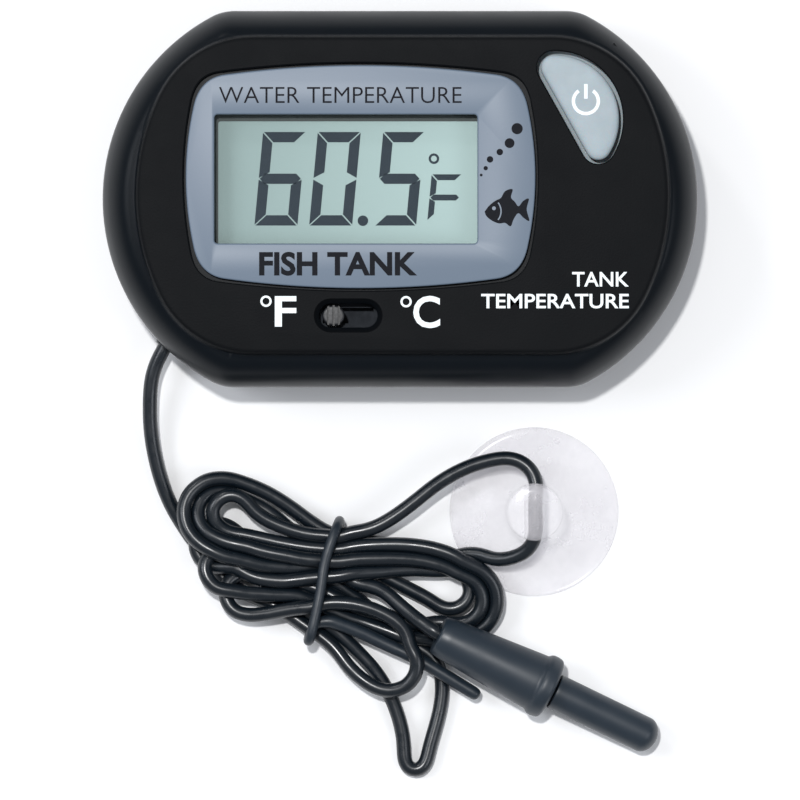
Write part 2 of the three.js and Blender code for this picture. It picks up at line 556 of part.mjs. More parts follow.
function cordBundle() {
  const outline = new THREE.Shape(BUNDLE_OUTLINE.map(([x, y]) => new THREE.Vector2(x, y)));
  const gripRoom = turned([...gripProfile(GAP), [0, 13.4]], 0, 0, 16);
  probe.updateMatrix();
  const cupRoom = [0, -CUP.slide].flatMap((y) => [
    disc(CUP.x, CUP.y + y, CUP.radius + GAP, -1, 1.3, 28),
    disc(CUP.x, CUP.y + y, CUP.radius - 1.7, 1, 2.3, 24),
  ]);
  return cut(
    prism(outline, 0.02, BUNDLE_HEIGHT),
    bar(TIE_ROUTE, TIE_RADIUS + GAP, 30),
    bar(TAIL_ROUTE, TAIL_RADIUS + GAP, 10),
    bar(PROBE_LEAD_ROUTE, CORD_RADIUS + GAP, 6),
    gripRoom.transform(probe.matrix.elements),
    ...cupRoom,
  );
}

add('cord_bundle', cordBundle(), cordBlack);

export default thermometer;
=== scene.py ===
import json
import math

import bmesh
import bpy
import numpy as np
from mathutils import Matrix, Vector

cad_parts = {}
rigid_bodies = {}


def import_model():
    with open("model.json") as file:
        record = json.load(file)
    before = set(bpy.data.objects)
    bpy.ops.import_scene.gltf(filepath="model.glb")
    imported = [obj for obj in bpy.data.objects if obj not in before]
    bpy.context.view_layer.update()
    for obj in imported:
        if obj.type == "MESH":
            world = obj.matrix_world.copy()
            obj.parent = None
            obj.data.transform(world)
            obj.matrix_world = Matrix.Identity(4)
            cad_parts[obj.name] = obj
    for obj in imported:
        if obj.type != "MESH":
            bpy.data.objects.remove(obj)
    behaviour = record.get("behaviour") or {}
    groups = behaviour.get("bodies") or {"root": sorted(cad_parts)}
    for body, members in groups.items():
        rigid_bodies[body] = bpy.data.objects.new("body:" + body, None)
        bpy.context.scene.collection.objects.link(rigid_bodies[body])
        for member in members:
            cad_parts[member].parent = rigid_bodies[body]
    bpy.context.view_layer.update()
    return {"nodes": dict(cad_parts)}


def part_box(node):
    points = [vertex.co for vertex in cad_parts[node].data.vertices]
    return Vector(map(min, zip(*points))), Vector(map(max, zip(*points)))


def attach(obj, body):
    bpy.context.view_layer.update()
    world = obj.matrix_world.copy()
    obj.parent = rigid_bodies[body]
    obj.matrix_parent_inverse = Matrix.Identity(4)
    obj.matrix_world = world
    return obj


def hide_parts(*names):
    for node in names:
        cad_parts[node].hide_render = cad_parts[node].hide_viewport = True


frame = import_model()

# Camera, floor and lamps ---------------------------------------------------------------------
# The thermometer lies on its back on a pale table. The camera looks straight down through a very
# long lens. A small lamp high up gives the short clear shadows, and large soft ones fill them. A
# low one at the upper left draws the edge of the raised face.

distance = 2
lens = bpy.data.cameras.new("camera")
lens.lens = 36 * distance / 0.08205
lens.clip_start = 0.02
camera = bpy.data.objects.new("camera", lens)
camera.location = (0, -0.0206, 0.0086 + distance)
bpy.context.collection.objects.link(camera)
bpy.context.scene.camera = camera


def linear(code):
    """A colour written as sRGB hex, such as #22323c, as the linear values that nodes take."""
    values = [int(code[i : i + 2], 16) / 255 for i in (1, 3, 5)]
    return [v / 12.92 if v <= 0.04045 else ((v + 0.055) / 1.055) ** 2.4 for v in values] + [1]


def lamp(name, place, aim, size, power, colour):
    light = bpy.data.lights.new(name, "AREA")
    light.shape = "DISK"
    light.size = size
    light.energy = power
    light.color = linear(colour)[:3]
    stand = bpy.data.objects.new(name, light)
    stand.location = place
    stand.rotation_euler = (Vector(aim) - Vector(place)).to_track_quat("-Z", "Y").to_euler()
    bpy.context.collection.objects.link(stand)


lamp("lamp_key", (-0.12, 0.19, 1.2), (0, -0.02, 0), 0.06, 9, "#ffffff")
lamp("lamp_left", (-0.45, 0.1, 0.5), (0, -0.02, 0), 0.3, 1.2, "#f4f8ff")
lamp("lamp_right", (0.5, -0.2, 0.6), (0, -0.02, 0), 0.4, 1.2, "#f4f8ff")
lamp("lamp_edge", (-0.32, 0.5, 0.42), (0, 0, 0.01), 0.1, 0.5, "#ffffff")

sky = bpy.data.worlds.new("studio")
bpy.context.scene.world = sky
sky.use_nodes = True
sky.node_tree.nodes["Background"].inputs["Color"].default_value = linear("#f6f9ff")
sky.node_tree.nodes["Background"].inputs["Strength"].default_value = 0.35
bpy.context.scene.view_settings.view_transform = "Standard"


def add_node(tree, kind, inputs=None, **settings):
    """Adds a node. An input is given a value, or another node's output to be linked to."""
    node = tree.nodes.new(kind)
    for key, value in settings.items():
        setattr(node, key, value)
    for name, value in (inputs or {}).items():
        if isinstance(value, bpy.types.NodeSocket):
            tree.links.new(value, node.inputs[name])
        else:
            node.inputs[name].default_value = value
    return node


def new_material(name):
    material = bpy.data.materials.new(name)
    material.use_nodes = True
    material.node_tree.nodes.clear()
    return material, material.node_tree


# Painted table top: matt, white, with nothing on it to see.
table_paint, tree = new_material("white_table_paint")
shader = add_node(tree, "ShaderNodeBsdfPrincipled", {
    "Base Color": linear("#f7f7f7"), "Roughness": 0.9, "Specular IOR Level": 0.1,
})
add_node(tree, "ShaderNodeOutputMaterial", {"Surface": shader.outputs["BSDF"]})
bpy.ops.mesh.primitive_plane_add(size=3, location=(0, 0, -0.00002))
table = bpy.context.object
table.name = "table_top"
table.data.materials.append(table_paint)

# Sensor cord ---------------------------------------------------------------------------------
# A thin two-core lead with a soft black PVC jacket, extruded smooth and slightly glossy. It
# leaves the case at its lower left, is folded to and fro into a hank, passes through the suction
# cup and ends in the probe. The folds lie on each other, held by the tie.

CORD_THICKNESS = 1.5
CORD_ROUTE = [
    # from the gland down to the table and round to the tie
    (-23.4, -13.9, 3.5), (-24, -14.8, 3.5), (-24.6, -15.9, 3.4), (-25.2, -17.2, 2.8),
    (-25.6, -18.9, 1.7), (-25.75, -21.2, 0.85), (-25.7, -23.8, 0.75), (-25.2, -26.8, 0.75),
    (-24.5, -29.4, 0.75), (-23.5, -31.8, 0.75), (-22.3, -33.6, 0.75), (-20.9, -35.5, 0.75),
    (-19.3, -37.6, 0.75), (-17.7, -39.2, 0.75), (-15.8, -40.6, 0.75), (-13.6, -41.4, 0.75),
    (-11.6, -41.9, 0.9), (-9.9, -42.9, 1.5), (-8.6, -44.3, 1.8),
    # small loop below the tie
    (-7.6, -45.2, 1.5), (-6.5, -46.2, 1.2), (-5.5, -47.9, 1), (-3.84, -49.4, 1.4), (-2.17, -50.3, 2.1),
    (-0.73, -50.4, 2.4), (0.83, -49.6, 2.9), (1.94, -48, 3.6), (2.16, -46.6, 3.9), (1.6, -45.3, 3.8),
    (0.61, -44.1, 3.6), (-1.06, -42.9, 3.5), (-2.73, -42.1, 3.4), (-4.95, -41.5, 3.3), (-7.2, -41.3, 3.3),
    # lowest fold at the left
    (-8.9, -41.3, 3.25), (-10.4, -41.7, 3.1), (-12.4, -42.3, 2.8), (-14.1, -42.65, 2.3),
    (-15.8, -42.5, 1.9), (-17.1, -41.7, 1.8), (-17.8, -40.5, 2.2), (-17.8, -39.1, 2.2),
    (-16.9, -38.2, 2), (-15.4, -38.2, 1.6), (-13.4, -39.3, 1.3), (-11.4, -41, 1.7), (-9.8, -42.3, 1.8),
    (-8.3, -43.2, 1.8),
    # long pointed loop
    (-6.9, -44.1, 1.5), (-5.4, -45.4, 1), (-3.95, -46.9, 0.75), (-2.7, -48.1, 0.75), (-1.5, -49.9, 0.75),
    (-0.6, -51.8, 0.75), (0.1, -53.9, 0.75), (0.45, -55.9, 0.75), (0.5, -57.4, 0.75), (0.75, -58.6, 0.75),
    (1.6, -59.1, 0.75), (2.4, -58.4, 0.75), (2.75, -57.2, 0.75), (3.3, -55.4, 0.75), (3.95, -53.3, 0.75),
    (4.4, -51.2, 0.75), (4.45, -49.6, 0.75), (4.2, -48.2, 0.75), (3.7, -46.8, 0.75), (2.3, -45.2, 0.75),
    (0.4, -44.2, 0.8), (-1.8, -43.2, 0.9), (-4.2, -41.6, 1.3), (-6.3, -39.8, 1.7), (-8, -38.8, 1.8),
    # second fold at the left
    (-10, -38, 1.3), (-12.4, -36.9, 0.9), (-14.6, -35.9, 0.75), (-16.6, -34.6, 0.75), (-18.2, -33.5, 0.75),
    (-19.8, -33.1, 0.75), (-20.9, -33.9, 0.8), (-21, -35.3, 1.2), (-20, -36.7, 1.7), (-17.8, -37.9, 2.2),
    (-15.1, -38.75, 2.9), (-12, -38.85, 3.1), (-9.5, -38.8, 3.3), (-7.9, -38.8, 3.3), (-5.5, -38.6, 3.1),
    # inner fold at the right
    (-2.9, -38.2, 2.4), (0.4, -37.9, 1.9), (3.7, -38.2, 1.8), (6.3, -39, 1.8), (7.6, -40.1, 1.7),
    (7.3, -41.3, 1.4), (5.9, -41.6, 1.2), (4.4, -41.35, 1), (2.28, -40.7, 0.85), (0.05, -39.6, 0.8),
    (-2, -38.5, 0.9), (-4.5, -37.1, 1.4), (-6.6, -36.3, 1.7), (-8, -36.1, 1.8),
    # third fold at the left
    (-9.6, -35.5, 1.5), (-11.4, -33.9, 1.2), (-13.2, -32.2, 1), (-15.2, -31.1, 1.2), (-17.6, -30.3, 1.8),
    (-19.6, -30.1, 2.2), (-21, -30.7, 2.3), (-21.2, -32, 2.3), (-20.2, -33.6, 2.4), (-18.2, -35, 2.4),
    (-15.1, -36.4, 2.7), (-12, -37.1, 3), (-9.5, -37.35, 3.3), (-7.7, -37.35, 3.3), (-5.5, -37.3, 3.2),
    # middle fold at the right
    (-2.9, -37, 2.8), (0.4, -36.8, 2.6), (3.7, -37, 2.6), (6.4, -37.9, 2.6), (8.2, -39.5, 2.5),
    (8.7, -41.3, 2.3), (8, -42.9, 1.9), (6.3, -44, 1.2), (4.1, -44.3, 0.9), (1.8, -43.8, 1.4),
    (-0.6, -43.4, 2), (-3.2, -42.9, 2), (-5.7, -41.4, 1.9), (-8.1, -40.3, 1.8),
    # fourth fold at the left
    (-10.2, -39.7, 1.5), (-12.3, -39, 1.6), (-14.5, -37.6, 1.5), (-16.8, -36.3, 1.4), (-18.7, -35.9, 1.5),
    (-20, -36.7, 2), (-20.25, -38.1, 2.5), (-19.4, -39.3, 2.7), (-17.7, -40.15, 3), (-15.4, -40.6, 2.9),
    (-13, -40.5, 2.6), (-10.7, -40.8, 2.1), (-8.2, -41.7, 1.8),
    # outer fold at the right
    (-5.6, -42.9, 1.9), (-2.8, -44.2, 2), (0, -45.3, 2), (2.6, -45.6, 1.6), (5, -45.2, 1.2),
    (7.2, -44.6, 1.3), (9, -43.6, 1.9), (9.9, -42.1, 2.4), (9.8, -40.1, 2.7), (8.7, -38.4, 3),
    (6.3, -36.9, 3.2), (3.7, -36, 3.3), (0.4, -35.6, 3.3), (-2.9, -35.6, 3.3), (-5.5, -35.85, 3.3),
    (-7.7, -35.9, 3.3),
    # inner fold at the left
    (-9.5, -35.8, 3.2), (-12, -35.4, 2.9), (-14.6, -34.8, 2.6), (-16.9, -34.2, 2.5), (-18.7, -33.5, 2.4),
    (-19.85, -32.4, 2.3), (-19.5, -31.35, 2.2), (-18.2, -31.15, 2.2), (-16.6, -31.7, 2.2),
    (-14.6, -32.6, 2.4), (-12, -33.7, 2.7), (-9.8, -34.4, 3.1), (-7.6, -34.7, 3.3), (-5.4, -34.6, 3.1),
    # up to the suction cup, through its knob and back
    (-3.2, -33.95, 2.2), (-1.25, -33, 1.2), (1.2, -31.3, 0.75), (3.7, -29.3, 0.85), (6.1, -27.9, 1.5),
    (8.6, -27, 2.4), (11, -26.8, 3.6), (12.7, -27.3, 4.7), (13.7, -28.4, 5.5), (13.9, -29.8, 5.6),
    (13.9, -32.1, 5.6), (13.9, -34.4, 5.6), (13.5, -35.6, 5.4), (12.5, -36.3, 4.7), (10.9, -36.8, 3.5),
    (9.2, -37.2, 2.3), (7, -37.3, 1.5), (4.4, -37.2, 1.1), (1.2, -36.4, 1), (-2, -35.3, 1.2),
    (-5, -34.6, 1.7), (-7.3, -34.5, 1.8),
    # outer fold at the left
    (-9.2, -33.2, 1.5), (-11.6, -31.3, 1.2), (-14.2, -29.75, 1), (-16.9, -28.95, 1), (-19.3, -28.95, 1.3),
    (-21.3, -29.8, 1.9), (-22.5, -31.2, 2.1), (-22.3, -32.7, 2), (-20.9, -34.6, 1.9), (-18.7, -36.1, 1.9),
    (-16, -37.2, 2), (-13, -38, 2), (-10.3, -38.1, 1.9), (-8, -37.5, 1.8),
    # over the hank to the probe
    (-6, -37.8, 1.8), (-4, -38.9, 2.2), (-1.84, -39.96, 3.2), (-0.5, -41.3, 4.3), (1.16, -42.75, 4.9),
    (2.83, -43.9, 4.75), (3.95, -44.65, 4.5), (5.5, -45.45, 4.35),
]
TIE_ROUTE = [
    (-8.9, -44.4, 0.52), (-8.6, -43, 0.52), (-8, -39.6, 0.52), (-6.9, -35.4, 0.52), (-6.4, -33.7, 0.7),
    (-6.2, -33, 2.3), (-6.5, -33.7, 4.4), (-7.1, -35.2, 5), (-7.8, -37.6, 5), (-8.15, -40, 5),
    (-8.7, -42.8, 5), (-9.2, -44.9, 4.8), (-9.45, -45.5, 4), (-9.3, -44.8, 3.3), (-8.7, -43.5, 3.3),
]
TAIL_ROUTE = [
    (-7.2, -43.3, 3.25), (-4.4, -44.35, 2.8), (-1.3, -45.8, 2.45), (1.72, -47.2, 2.35),
    (3.95, -48.5, 2.3), (7.6, -50.75, 2.1),
]
TIE_RADIUS = 0.52
TAIL_RADIUS = 0.68
CUP_PLACE = Vector((13.8, -32.1, 0))
CUP_SIDE = [(2.95, 4.3), (3.1, 3.6), (3.9, 2.9), (6, 1.85), (8.1, 0.8), (8.7, 0.45), (8.71, -5)]
PROBE_START = Vector((3.9, -44.7, 4.5))
PROBE_END = Vector((26.3, -55.6, 2.1))


def along(route, spacing):
    """Points at an even spacing on a smooth curve through the route's points."""
    knots = np.array(route, float)
    knots = np.vstack([2 * knots[0] - knots[1], knots, 2 * knots[-1] - knots[-2]])
    line = []
    for a, b, c, d in zip(knots, knots[1:], knots[2:], knots[3:]):
        t = np.cumsum([0] + [np.linalg.norm(q - p) ** 0.5 for p, q in ((a, b), (b, c), (c, d))])
        for now in np.linspace(t[1], t[2], 12, endpoint=False):
            ab = a + (b - a) * (now - t[0]) / (t[1] - t[0])
            bc = b + (c - b) * (now - t[1]) / (t[2] - t[1])
            cd = c + (d - c) * (now - t[2]) / (t[3] - t[2])
            abc = ab + (bc - ab) * (now - t[0]) / (t[2] - t[0])
            bcd = bc + (cd - bc) * (now - t[1]) / (t[3] - t[1])
            line.append(abc + (bcd - abc) * (now - t[1]) / (t[2] - t[1]))
    line = np.array(line + [knots[-2]])
    reach = np.append(0, np.cumsum(np.linalg.norm(np.diff(line, axis=0), axis=1)))
    stops = np.linspace(0, reach[-1], round(reach[-1] / spacing) + 1)
    return np.stack([np.interp(stops, reach, line[:, k]) for k in range(3)], axis=1)


def clear_of(points, line, room):
    """Moves points away from a line until they are a distance clear of it."""
    for a, b in zip(line, line[1:]):
        share = np.clip((points - a) @ (b - a) / ((b - a) @ (b - a)), 0, 1)
        away = points - a - share[:, None] * (b - a)
        reach = np.maximum(np.linalg.norm(away, axis=1), 1e-6)
        points += away * (np.maximum(room - reach, 0) / reach)[:, None]


def keep_apart(points, count, least, share):
    """Holds points that are count steps apart on the cord at least some distance apart."""
    gap = points[count:] - points[:-count]
    reach = np.linalg.norm(gap, axis=1)
    push = gap * (np.maximum(least - reach, 0) / reach * share / 2)[:, None]
    points[count:] += push
    points[:-count] -= push


def settled(route, rounds):
    """Lets the cord sink onto the table, its own folds, the tie, the cup and the probe's grip."""
    home = along(route, 0.8)
    points = home.copy()
    step = np.linalg.norm(np.diff(points, axis=0), axis=1).mean()
    held = (abs(home[:, 0] - 13.9) < 0.6) & (home[:, 1] < -30) & (home[:, 1] > -34.4) & (home[:, 2] > 5)
    held[:4] = held[-4:] = True
    bend = np.where(home[:, 1] < -54, 1.1, 2.8)
    tie, tail = np.array(TIE_ROUTE), np.array(TAIL_ROUTE)
    grip = np.array([PROBE_START, PROBE_START + (PROBE_END - PROBE_START).normalized() * 13])
    before_grip = len(points) - 14
    for turn in range(rounds):
        if turn % 8 == 0:
            apart = ((points[:, None] - points[None]) ** 2).sum(2)
            one, other = np.nonzero(np.triu(apart < 2.5**2, int(4.6 / step)))
        gap = points[one] - points[other]
        reach = np.maximum(np.linalg.norm(gap, axis=1), 1e-6)
        touch = np.where(abs(points[one, 0] + 8) < 3, 1.43, 1.53)
        push = gap * (np.maximum(touch - reach, 0) / reach * 0.3)[:, None]
        np.add.at(points, one, push)
        np.subtract.at(points, other, push)
        points[:, 2] -= 0.005 * (1 - turn / rounds)
        points[:, :2] += 0.02 * (home[:, :2] - points[:, :2])
        gap = np.diff(points, axis=0)
        reach = np.linalg.norm(gap, axis=1)
        push = gap * ((step - reach) / reach * 0.4)[:, None]
        points[1:] += push
        points[:-1] -= push
        for count in (3, 5):
            tight = np.minimum(bend[count:], bend[:-count])
            keep_apart(points, count, 2 * tight * np.sin(np.minimum(count * step / 2 / tight, 1.5)), 0.6)
        keep_apart(points, 2, 1.97 * step, 0.5)
        for share in ((0.06, 0.06, 0.4), (0, 0, 0.4)):
            points[1:-1] += share * (points[:-2] + points[2:] - 2 * points[1:-1])
        points[:, 2] = np.maximum(points[:, 2], 0.75)
        clear_of(points, tie, TIE_RADIUS + 0.75)
        clear_of(points, tail, TAIL_RADIUS + 0.75)
        out = np.hypot(points[:, 0] - CUP_PLACE.x, points[:, 1] - CUP_PLACE.y)
        over_cup = (out > 3.7) & (out < 8.9)
        top = np.interp(out, [r for r, z in CUP_SIDE], [z for r, z in CUP_SIDE]) + 0.81
        points[over_cup, 2] = np.maximum(points[over_cup, 2], top[over_cup])
        before = points[:before_grip].copy()
        clear_of(before, grip, 3.2)
        points[:before_grip] = before
        points[held] = home[held]
    return points


cord_line = settled(CORD_ROUTE, 400) / 1000
curve = bpy.data.curves.new("sensor_cord", "CURVE")
curve.dimensions = "3D"
curve.bevel_depth = CORD_THICKNESS / 2000
curve.bevel_resolution = 4
curve.resolution_u = 3
curve.use_fill_caps = True
spline = curve.splines.new("NURBS")
spline.points.add(len(cord_line) - 1)
spline.points.foreach_set("co", np.c_[cord_line, np.ones(len(cord_line))].ravel())
spline.order_u = 4
spline.use_endpoint_u = True
sensor_cord = bpy.data.objects.new("sensor_cord", curve)
bpy.context.collection.objects.link(sensor_cord)

# Extruded soft PVC: near black with a blue cast, glossy, with a faint waviness from the die.
cord_pvc, tree = new_material("black_pvc_jacket")
place = add_node(tree, "ShaderNodeTexCoord")
waves = add_node(tree, "ShaderNodeTexNoise", {
    "Vector": place.outputs["Object"], "Scale": 900, "Detail": 2, "Roughness": 0.5,
})
shade = add_node(tree, "ShaderNodeMapRange", {
    "Value": waves.outputs["Fac"], "From Min": 0.3, "From Max": 0.7, "To Min": 0.24, "To Max": 0.36,
})
bump = add_node(tree, "ShaderNodeBump", {
    "Height": waves.outputs["Fac"], "Strength": 0.25, "Distance": 0.00003,
})
shader = add_node(tree, "ShaderNodeBsdfPrincipled", {
    "Base Color": linear("#0e161d"), "Roughness": shade.outputs["Result"], "IOR": 1.53,
    "Normal": bump.outputs["Normal"],
})
add_node(tree, "ShaderNodeOutputMaterial", {"Surface": shader.outputs["BSDF"]})
curve.materials.append(cord_pvc)

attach(sensor_cord, "root")
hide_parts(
    "cord_lead", "cord_bundle", "cord_cup_loop", "cord_small_loop", "cord_long_loop",
    "cord_probe_lead",
)

# Tie -----------------------------------------------------------------------------------------
# A steel wire in a black plastic coat, bent by hand once round the hank below the middle. Its end
# comes back under the ring and lies straight out over the loops; the coat is thicker there.

wire = bpy.data.curves.new("tie_wire", "CURVE")
wire.dimensions = "3D"
wire.bevel_depth = TIE_RADIUS / 1000
wire.bevel_resolution = 6
wire.resolution_u = 10
wire.use_fill_caps = True
spline = wire.splines.new("NURBS")
line = [(point, TIE_RADIUS) for point in along(TIE_ROUTE, 0.9)]
line += [(point, TAIL_RADIUS) for point in along(TAIL_ROUTE, 0.9)]
tip, before = Vector(line[-1][0]), Vector(line[-2][0])
out = (tip - before).normalized()
line += [(tip + 0.3 * out, 0.62), (tip + 0.5 * out, 0.5), (tip + 0.62 * out, 0.3), (tip + 0.66 * out, 0.05)]
first = Vector(line[0][0]) - 0.3 * (Vector(line[1][0]) - Vector(line[0][0])).normalized()
line.insert(0, (first, 0.2))
spline.points.add(len(line) - 1)
for knot, (point, radius) in zip(spline.points, line):
    knot.co = (*(Vector(point) / 1000), 1)
    knot.radius = radius / TIE_RADIUS
spline.order_u = 3
spline.use_endpoint_u = True
tie_wire = bpy.data.objects.new("tie_wire", wire)
bpy.context.collection.objects.link(tie_wire)


def pick_only(piece):
    """Deselects everything and makes one piece the selected and active one."""
    for other in bpy.context.view_layer.objects:
        other.select_set(False)
    piece.select_set(True)
    bpy.context.view_layer.objects.active = piece


pick_only(tie_wire)
bpy.ops.object.convert(target="MESH")
tie_wire = bpy.context.object
bpy.ops.object.mode_set(mode="EDIT")
bpy.ops.mesh.select_all(action="SELECT")
bpy.ops.mesh.remove_doubles(threshold=1e-7)
bpy.ops.mesh.normals_make_consistent(inside=False)
bpy.ops.object.mode_set(mode="OBJECT")
bpy.ops.object.shade_smooth()

# Plastic coat of the tie: black PVC, a little duller and greyer than the cord.
tie_coat, tree = new_material("black_tie_coat")
place = add_node(tree, "ShaderNodeTexCoord")
waves = add_node(tree, "ShaderNodeTexNoise", {
    "Vector": place.outputs["Object"], "Scale": 1500, "Detail": 3, "Roughness": 0.6,
})
shade = add_node(tree, "ShaderNodeMapRange", {
    "Value": waves.outputs["Fac"], "From Min": 0.3, "From Max": 0.7, "To Min": 0.34, "To Max": 0.5,
})
bump = add_node(tree, "ShaderNodeBump", {
    "Height": waves.outputs["Fac"], "Strength": 0.3, "Distance": 0.00002,
})
shader = add_node(tree, "ShaderNodeBsdfPrincipled", {
    "Base Color": linear("#18222b"), "Roughness": shade.outputs["Result"], "IOR": 1.53,
    "Normal": bump.outputs["Normal"],
})
add_node(tree, "ShaderNodeOutputMaterial", {"Surface": shader.outputs["BSDF"]})


def fitted(piece, name, material, stands_for=(), body="root", angle=35, unit=0.001):
    """Ends a piece: from millimetres to metres, its name, shading, material and body."""
    pick_only(piece)
    bpy.ops.object.transform_apply(location=True, rotation=True, scale=True)
    piece.data.transform(Matrix.Scale(unit, 4))
    piece.name = name
    piece.data.materials.clear()
    piece.data.materials.append(material)
    bpy.ops.object.shade_smooth_by_angle(angle=math.radians(angle))
    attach(piece, body)
    if stands_for:
        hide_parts(*stands_for)
    return piece


fitted(tie_wire, "tie_wire", tie_coat, ["cord_tie"], unit=1)

# Suction cup ---------------------------------------------------------------------------------
# A clear soft vinyl cup, moulded in one piece: a thin cone with a flat rim and a solid knob, and
# a hole across the knob for the cord. It stands on its rim.


def turned(profile, sides):
    """A body of revolution about Z, screwed round from a drawn half section (radius, height)."""
    bpy.ops.object.select_all(action="DESELECT")
    drawing = bpy.data.curves.new("half_section", "CURVE")
    drawing.dimensions = "3D"
    edge = drawing.splines.new("POLY")
    edge.points.add(len(profile) - 1)
    for knot, (radius, height) in zip(edge.points, profile):
        knot.co = (radius, 0, height, 1)
    piece = bpy.data.objects.new("half_section", drawing)
    bpy.context.collection.objects.link(piece)
    pick_only(piece)
    bpy.ops.object.convert(target="MESH")
    piece = bpy.context.object
    lathe = piece.modifiers.new("lathe", "SCREW")
    lathe.steps = lathe.render_steps = sides
    lathe.use_merge_vertices = True
    lathe.merge_threshold = 1e-4
    bpy.ops.object.modifier_apply(modifier=lathe.name)
    bpy.ops.object.mode_set(mode="EDIT")
    bpy.ops.mesh.select_all(action="SELECT")
    bpy.ops.mesh.remove_doubles(threshold=1e-4)
    bpy.ops.mesh.dissolve_degenerate(threshold=1e-5)
    bpy.ops.mesh.normals_make_consistent(inside=False)
    bpy.ops.object.mode_set(mode="OBJECT")
    return piece


def combined(piece, tool, how):
    """Cuts one solid from the piece, or joins it on, and takes the tool away."""
    pick_only(piece)
    change = piece.modifiers.new("change", "BOOLEAN")
    change.operation = how
    change.solver = "EXACT"
    change.object = tool
    bpy.ops.object.modifier_apply(modifier=change.name)
    bpy.data.objects.remove(tool)
    return piece


def rounded(points, reach, steps=5):
    """An open outline with each of its inner corners rounded over a reach."""
    line = [Vector(points[0])]
    for a, b, c in zip(points, points[1:], points[2:]):
        a, b, c = Vector(a), Vector(b), Vector(c)
        start = b + (a - b).normalized() * min(reach, (a - b).length * 0.45)
        end = b + (c - b).normalized() * min(reach, (c - b).length * 0.45)
        for k in range(steps + 1):
            t = k / steps
            line.append(start.lerp(b, t).lerp(b.lerp(end, t), t))
    return line + [Vector(points[-1])]


suction_cup = turned(rounded([
    (0, 2.1), (2.6, 1.95), (4.6, 1.45), (6.3, 0.78), (7.9, 0.02), (8.7, 0.02), (8.7, 0.42), (8, 0.82),
    (6, 1.85), (4.2, 2.8), (3.15, 3.5), (2.85, 4.3), (2.95, 5.6), (2.95, 7.9), (2.6, 8.45), (0, 8.5),
], 0.6), 96)
suction_cup.location = CUP_PLACE
pick_only(suction_cup)
bpy.ops.object.transform_apply(location=True)
bpy.ops.mesh.primitive_cylinder_add(
    vertices=40, radius=1.05, depth=8, location=(13.8, -32.1, 5.6), rotation=(math.pi / 2, 0, 0),
)
combined(suction_cup, bpy.context.object, "DIFFERENCE")

# Clear soft PVC, moulded glossy: almost colourless, with a faint milky bloom from handling.
cup_vinyl, tree = new_material("clear_soft_vinyl")
place = add_node(tree, "ShaderNodeTexCoord")
bloom = add_node(tree, "ShaderNodeTexNoise", {
    "Vector": place.outputs["Object"], "Scale": 250, "Detail": 4, "Roughness": 0.6,
})
shade = add_node(tree, "ShaderNodeMapRange", {
    "Value": bloom.outputs["Fac"], "From Min": 0.3, "From Max": 0.7, "To Min": 0.1, "To Max": 0.2,
})
haze = add_node(tree, "ShaderNodeMapRange", {
    "Value": bloom.outputs["Fac"], "From Min": 0.35, "From Max": 0.7, "To Min": 0.2, "To Max": 0.32,
})
shader = add_node(tree, "ShaderNodeBsdfPrincipled", {
    "Base Color": linear("#f4f1f5"), "Roughness": shade.outputs["Result"], "IOR": 1.52,
    "Alpha": haze.outputs["Result"],
})
add_node(tree, "ShaderNodeOutputMaterial", {"Surface": shader.outputs["BSDF"]})
fitted(suction_cup, "clear_cup", cup_vinyl, ["suction_cup"], body="cup")

# Probe ---------------------------------------------------------------------------------------
# The grip is hard black ABS, moulded over the cord's end: a long taper that grows to a collar.
# The sensor tube is pressed over its spigot and holds the thermistor in its round end.

probe_turn = (PROBE_END - PROBE_START).to_track_quat("Z", "Y")


def on_probe(piece):
    piece.rotation_mode = "QUATERNION"
    piece.rotation_quaternion = probe_turn
    piece.location = PROBE_START
    return piece


grip = on_probe(turned(rounded([
    (0, 2), (0.8, 2), (0.8, 0), (2.0, 0), (2.2, 1), (2.55, 5.5), (2.95, 11), (2.95, 11.3),
    (3.3, 11.7), (3.32, 12.3), (3.2, 12.9), (2.7, 13.12), (1.05, 13.12), (1.05, 15.4), (0, 15.4),
], 0.3, 4), 72))
tube = on_probe(turned(
    [(0, 24.3), (0.6, 24.2), (1.0, 23.95), (1.3, 23.4), (1.36, 22.8), (1.36, 13.4)]
    + rounded([(1.36, 13.4), (1.85, 13.4), (1.85, 13.8)], 0.1, 3)
    + [(1.85, 13.8), (1.85, 23.6)]
    + [(1.85 * math.cos(a), 23.6 + 1.45 * math.sin(a)) for a in np.linspace(0.15, math.pi / 2, 9)[:-1]]
    + [(0, 25.05)],
    64,
))

# Hard ABS from a finely blasted mould: satin, very dark blue-grey, small scratches from use.
probe_abs, tree = new_material("satin_black_abs")
place = add_node(tree, "ShaderNodeTexCoord")
grain = add_node(tree, "ShaderNodeTexNoise", {
    "Vector": place.outputs["Object"], "Scale": 5000, "Detail": 2, "Roughness": 0.6,
})
patches = add_node(tree, "ShaderNodeTexNoise", {
    "Vector": place.outputs["Object"], "Scale": 260, "Detail": 4, "Roughness": 0.6,
})
shade = add_node(tree, "ShaderNodeMapRange", {
    "Value": patches.outputs["Fac"], "From Min": 0.3, "From Max": 0.7, "To Min": 0.36, "To Max": 0.48,
})
bump = add_node(tree, "ShaderNodeBump", {
    "Height": grain.outputs["Fac"], "Strength": 0.25, "Distance": 0.00001,
})
shader = add_node(tree, "ShaderNodeBsdfPrincipled", {
    "Base Color": linear("#1d2832"), "Roughness": shade.outputs["Result"], "IOR": 1.54,
    "Normal": bump.outputs["Normal"],
})
add_node(tree, "ShaderNodeOutputMaterial", {"Surface": shader.outputs["BSDF"]})
fitted(grip, "grip_moulding", probe_abs, ["probe_grip"])
fitted(tube, "sensor_sleeve", probe_abs, ["sensor_tube"])

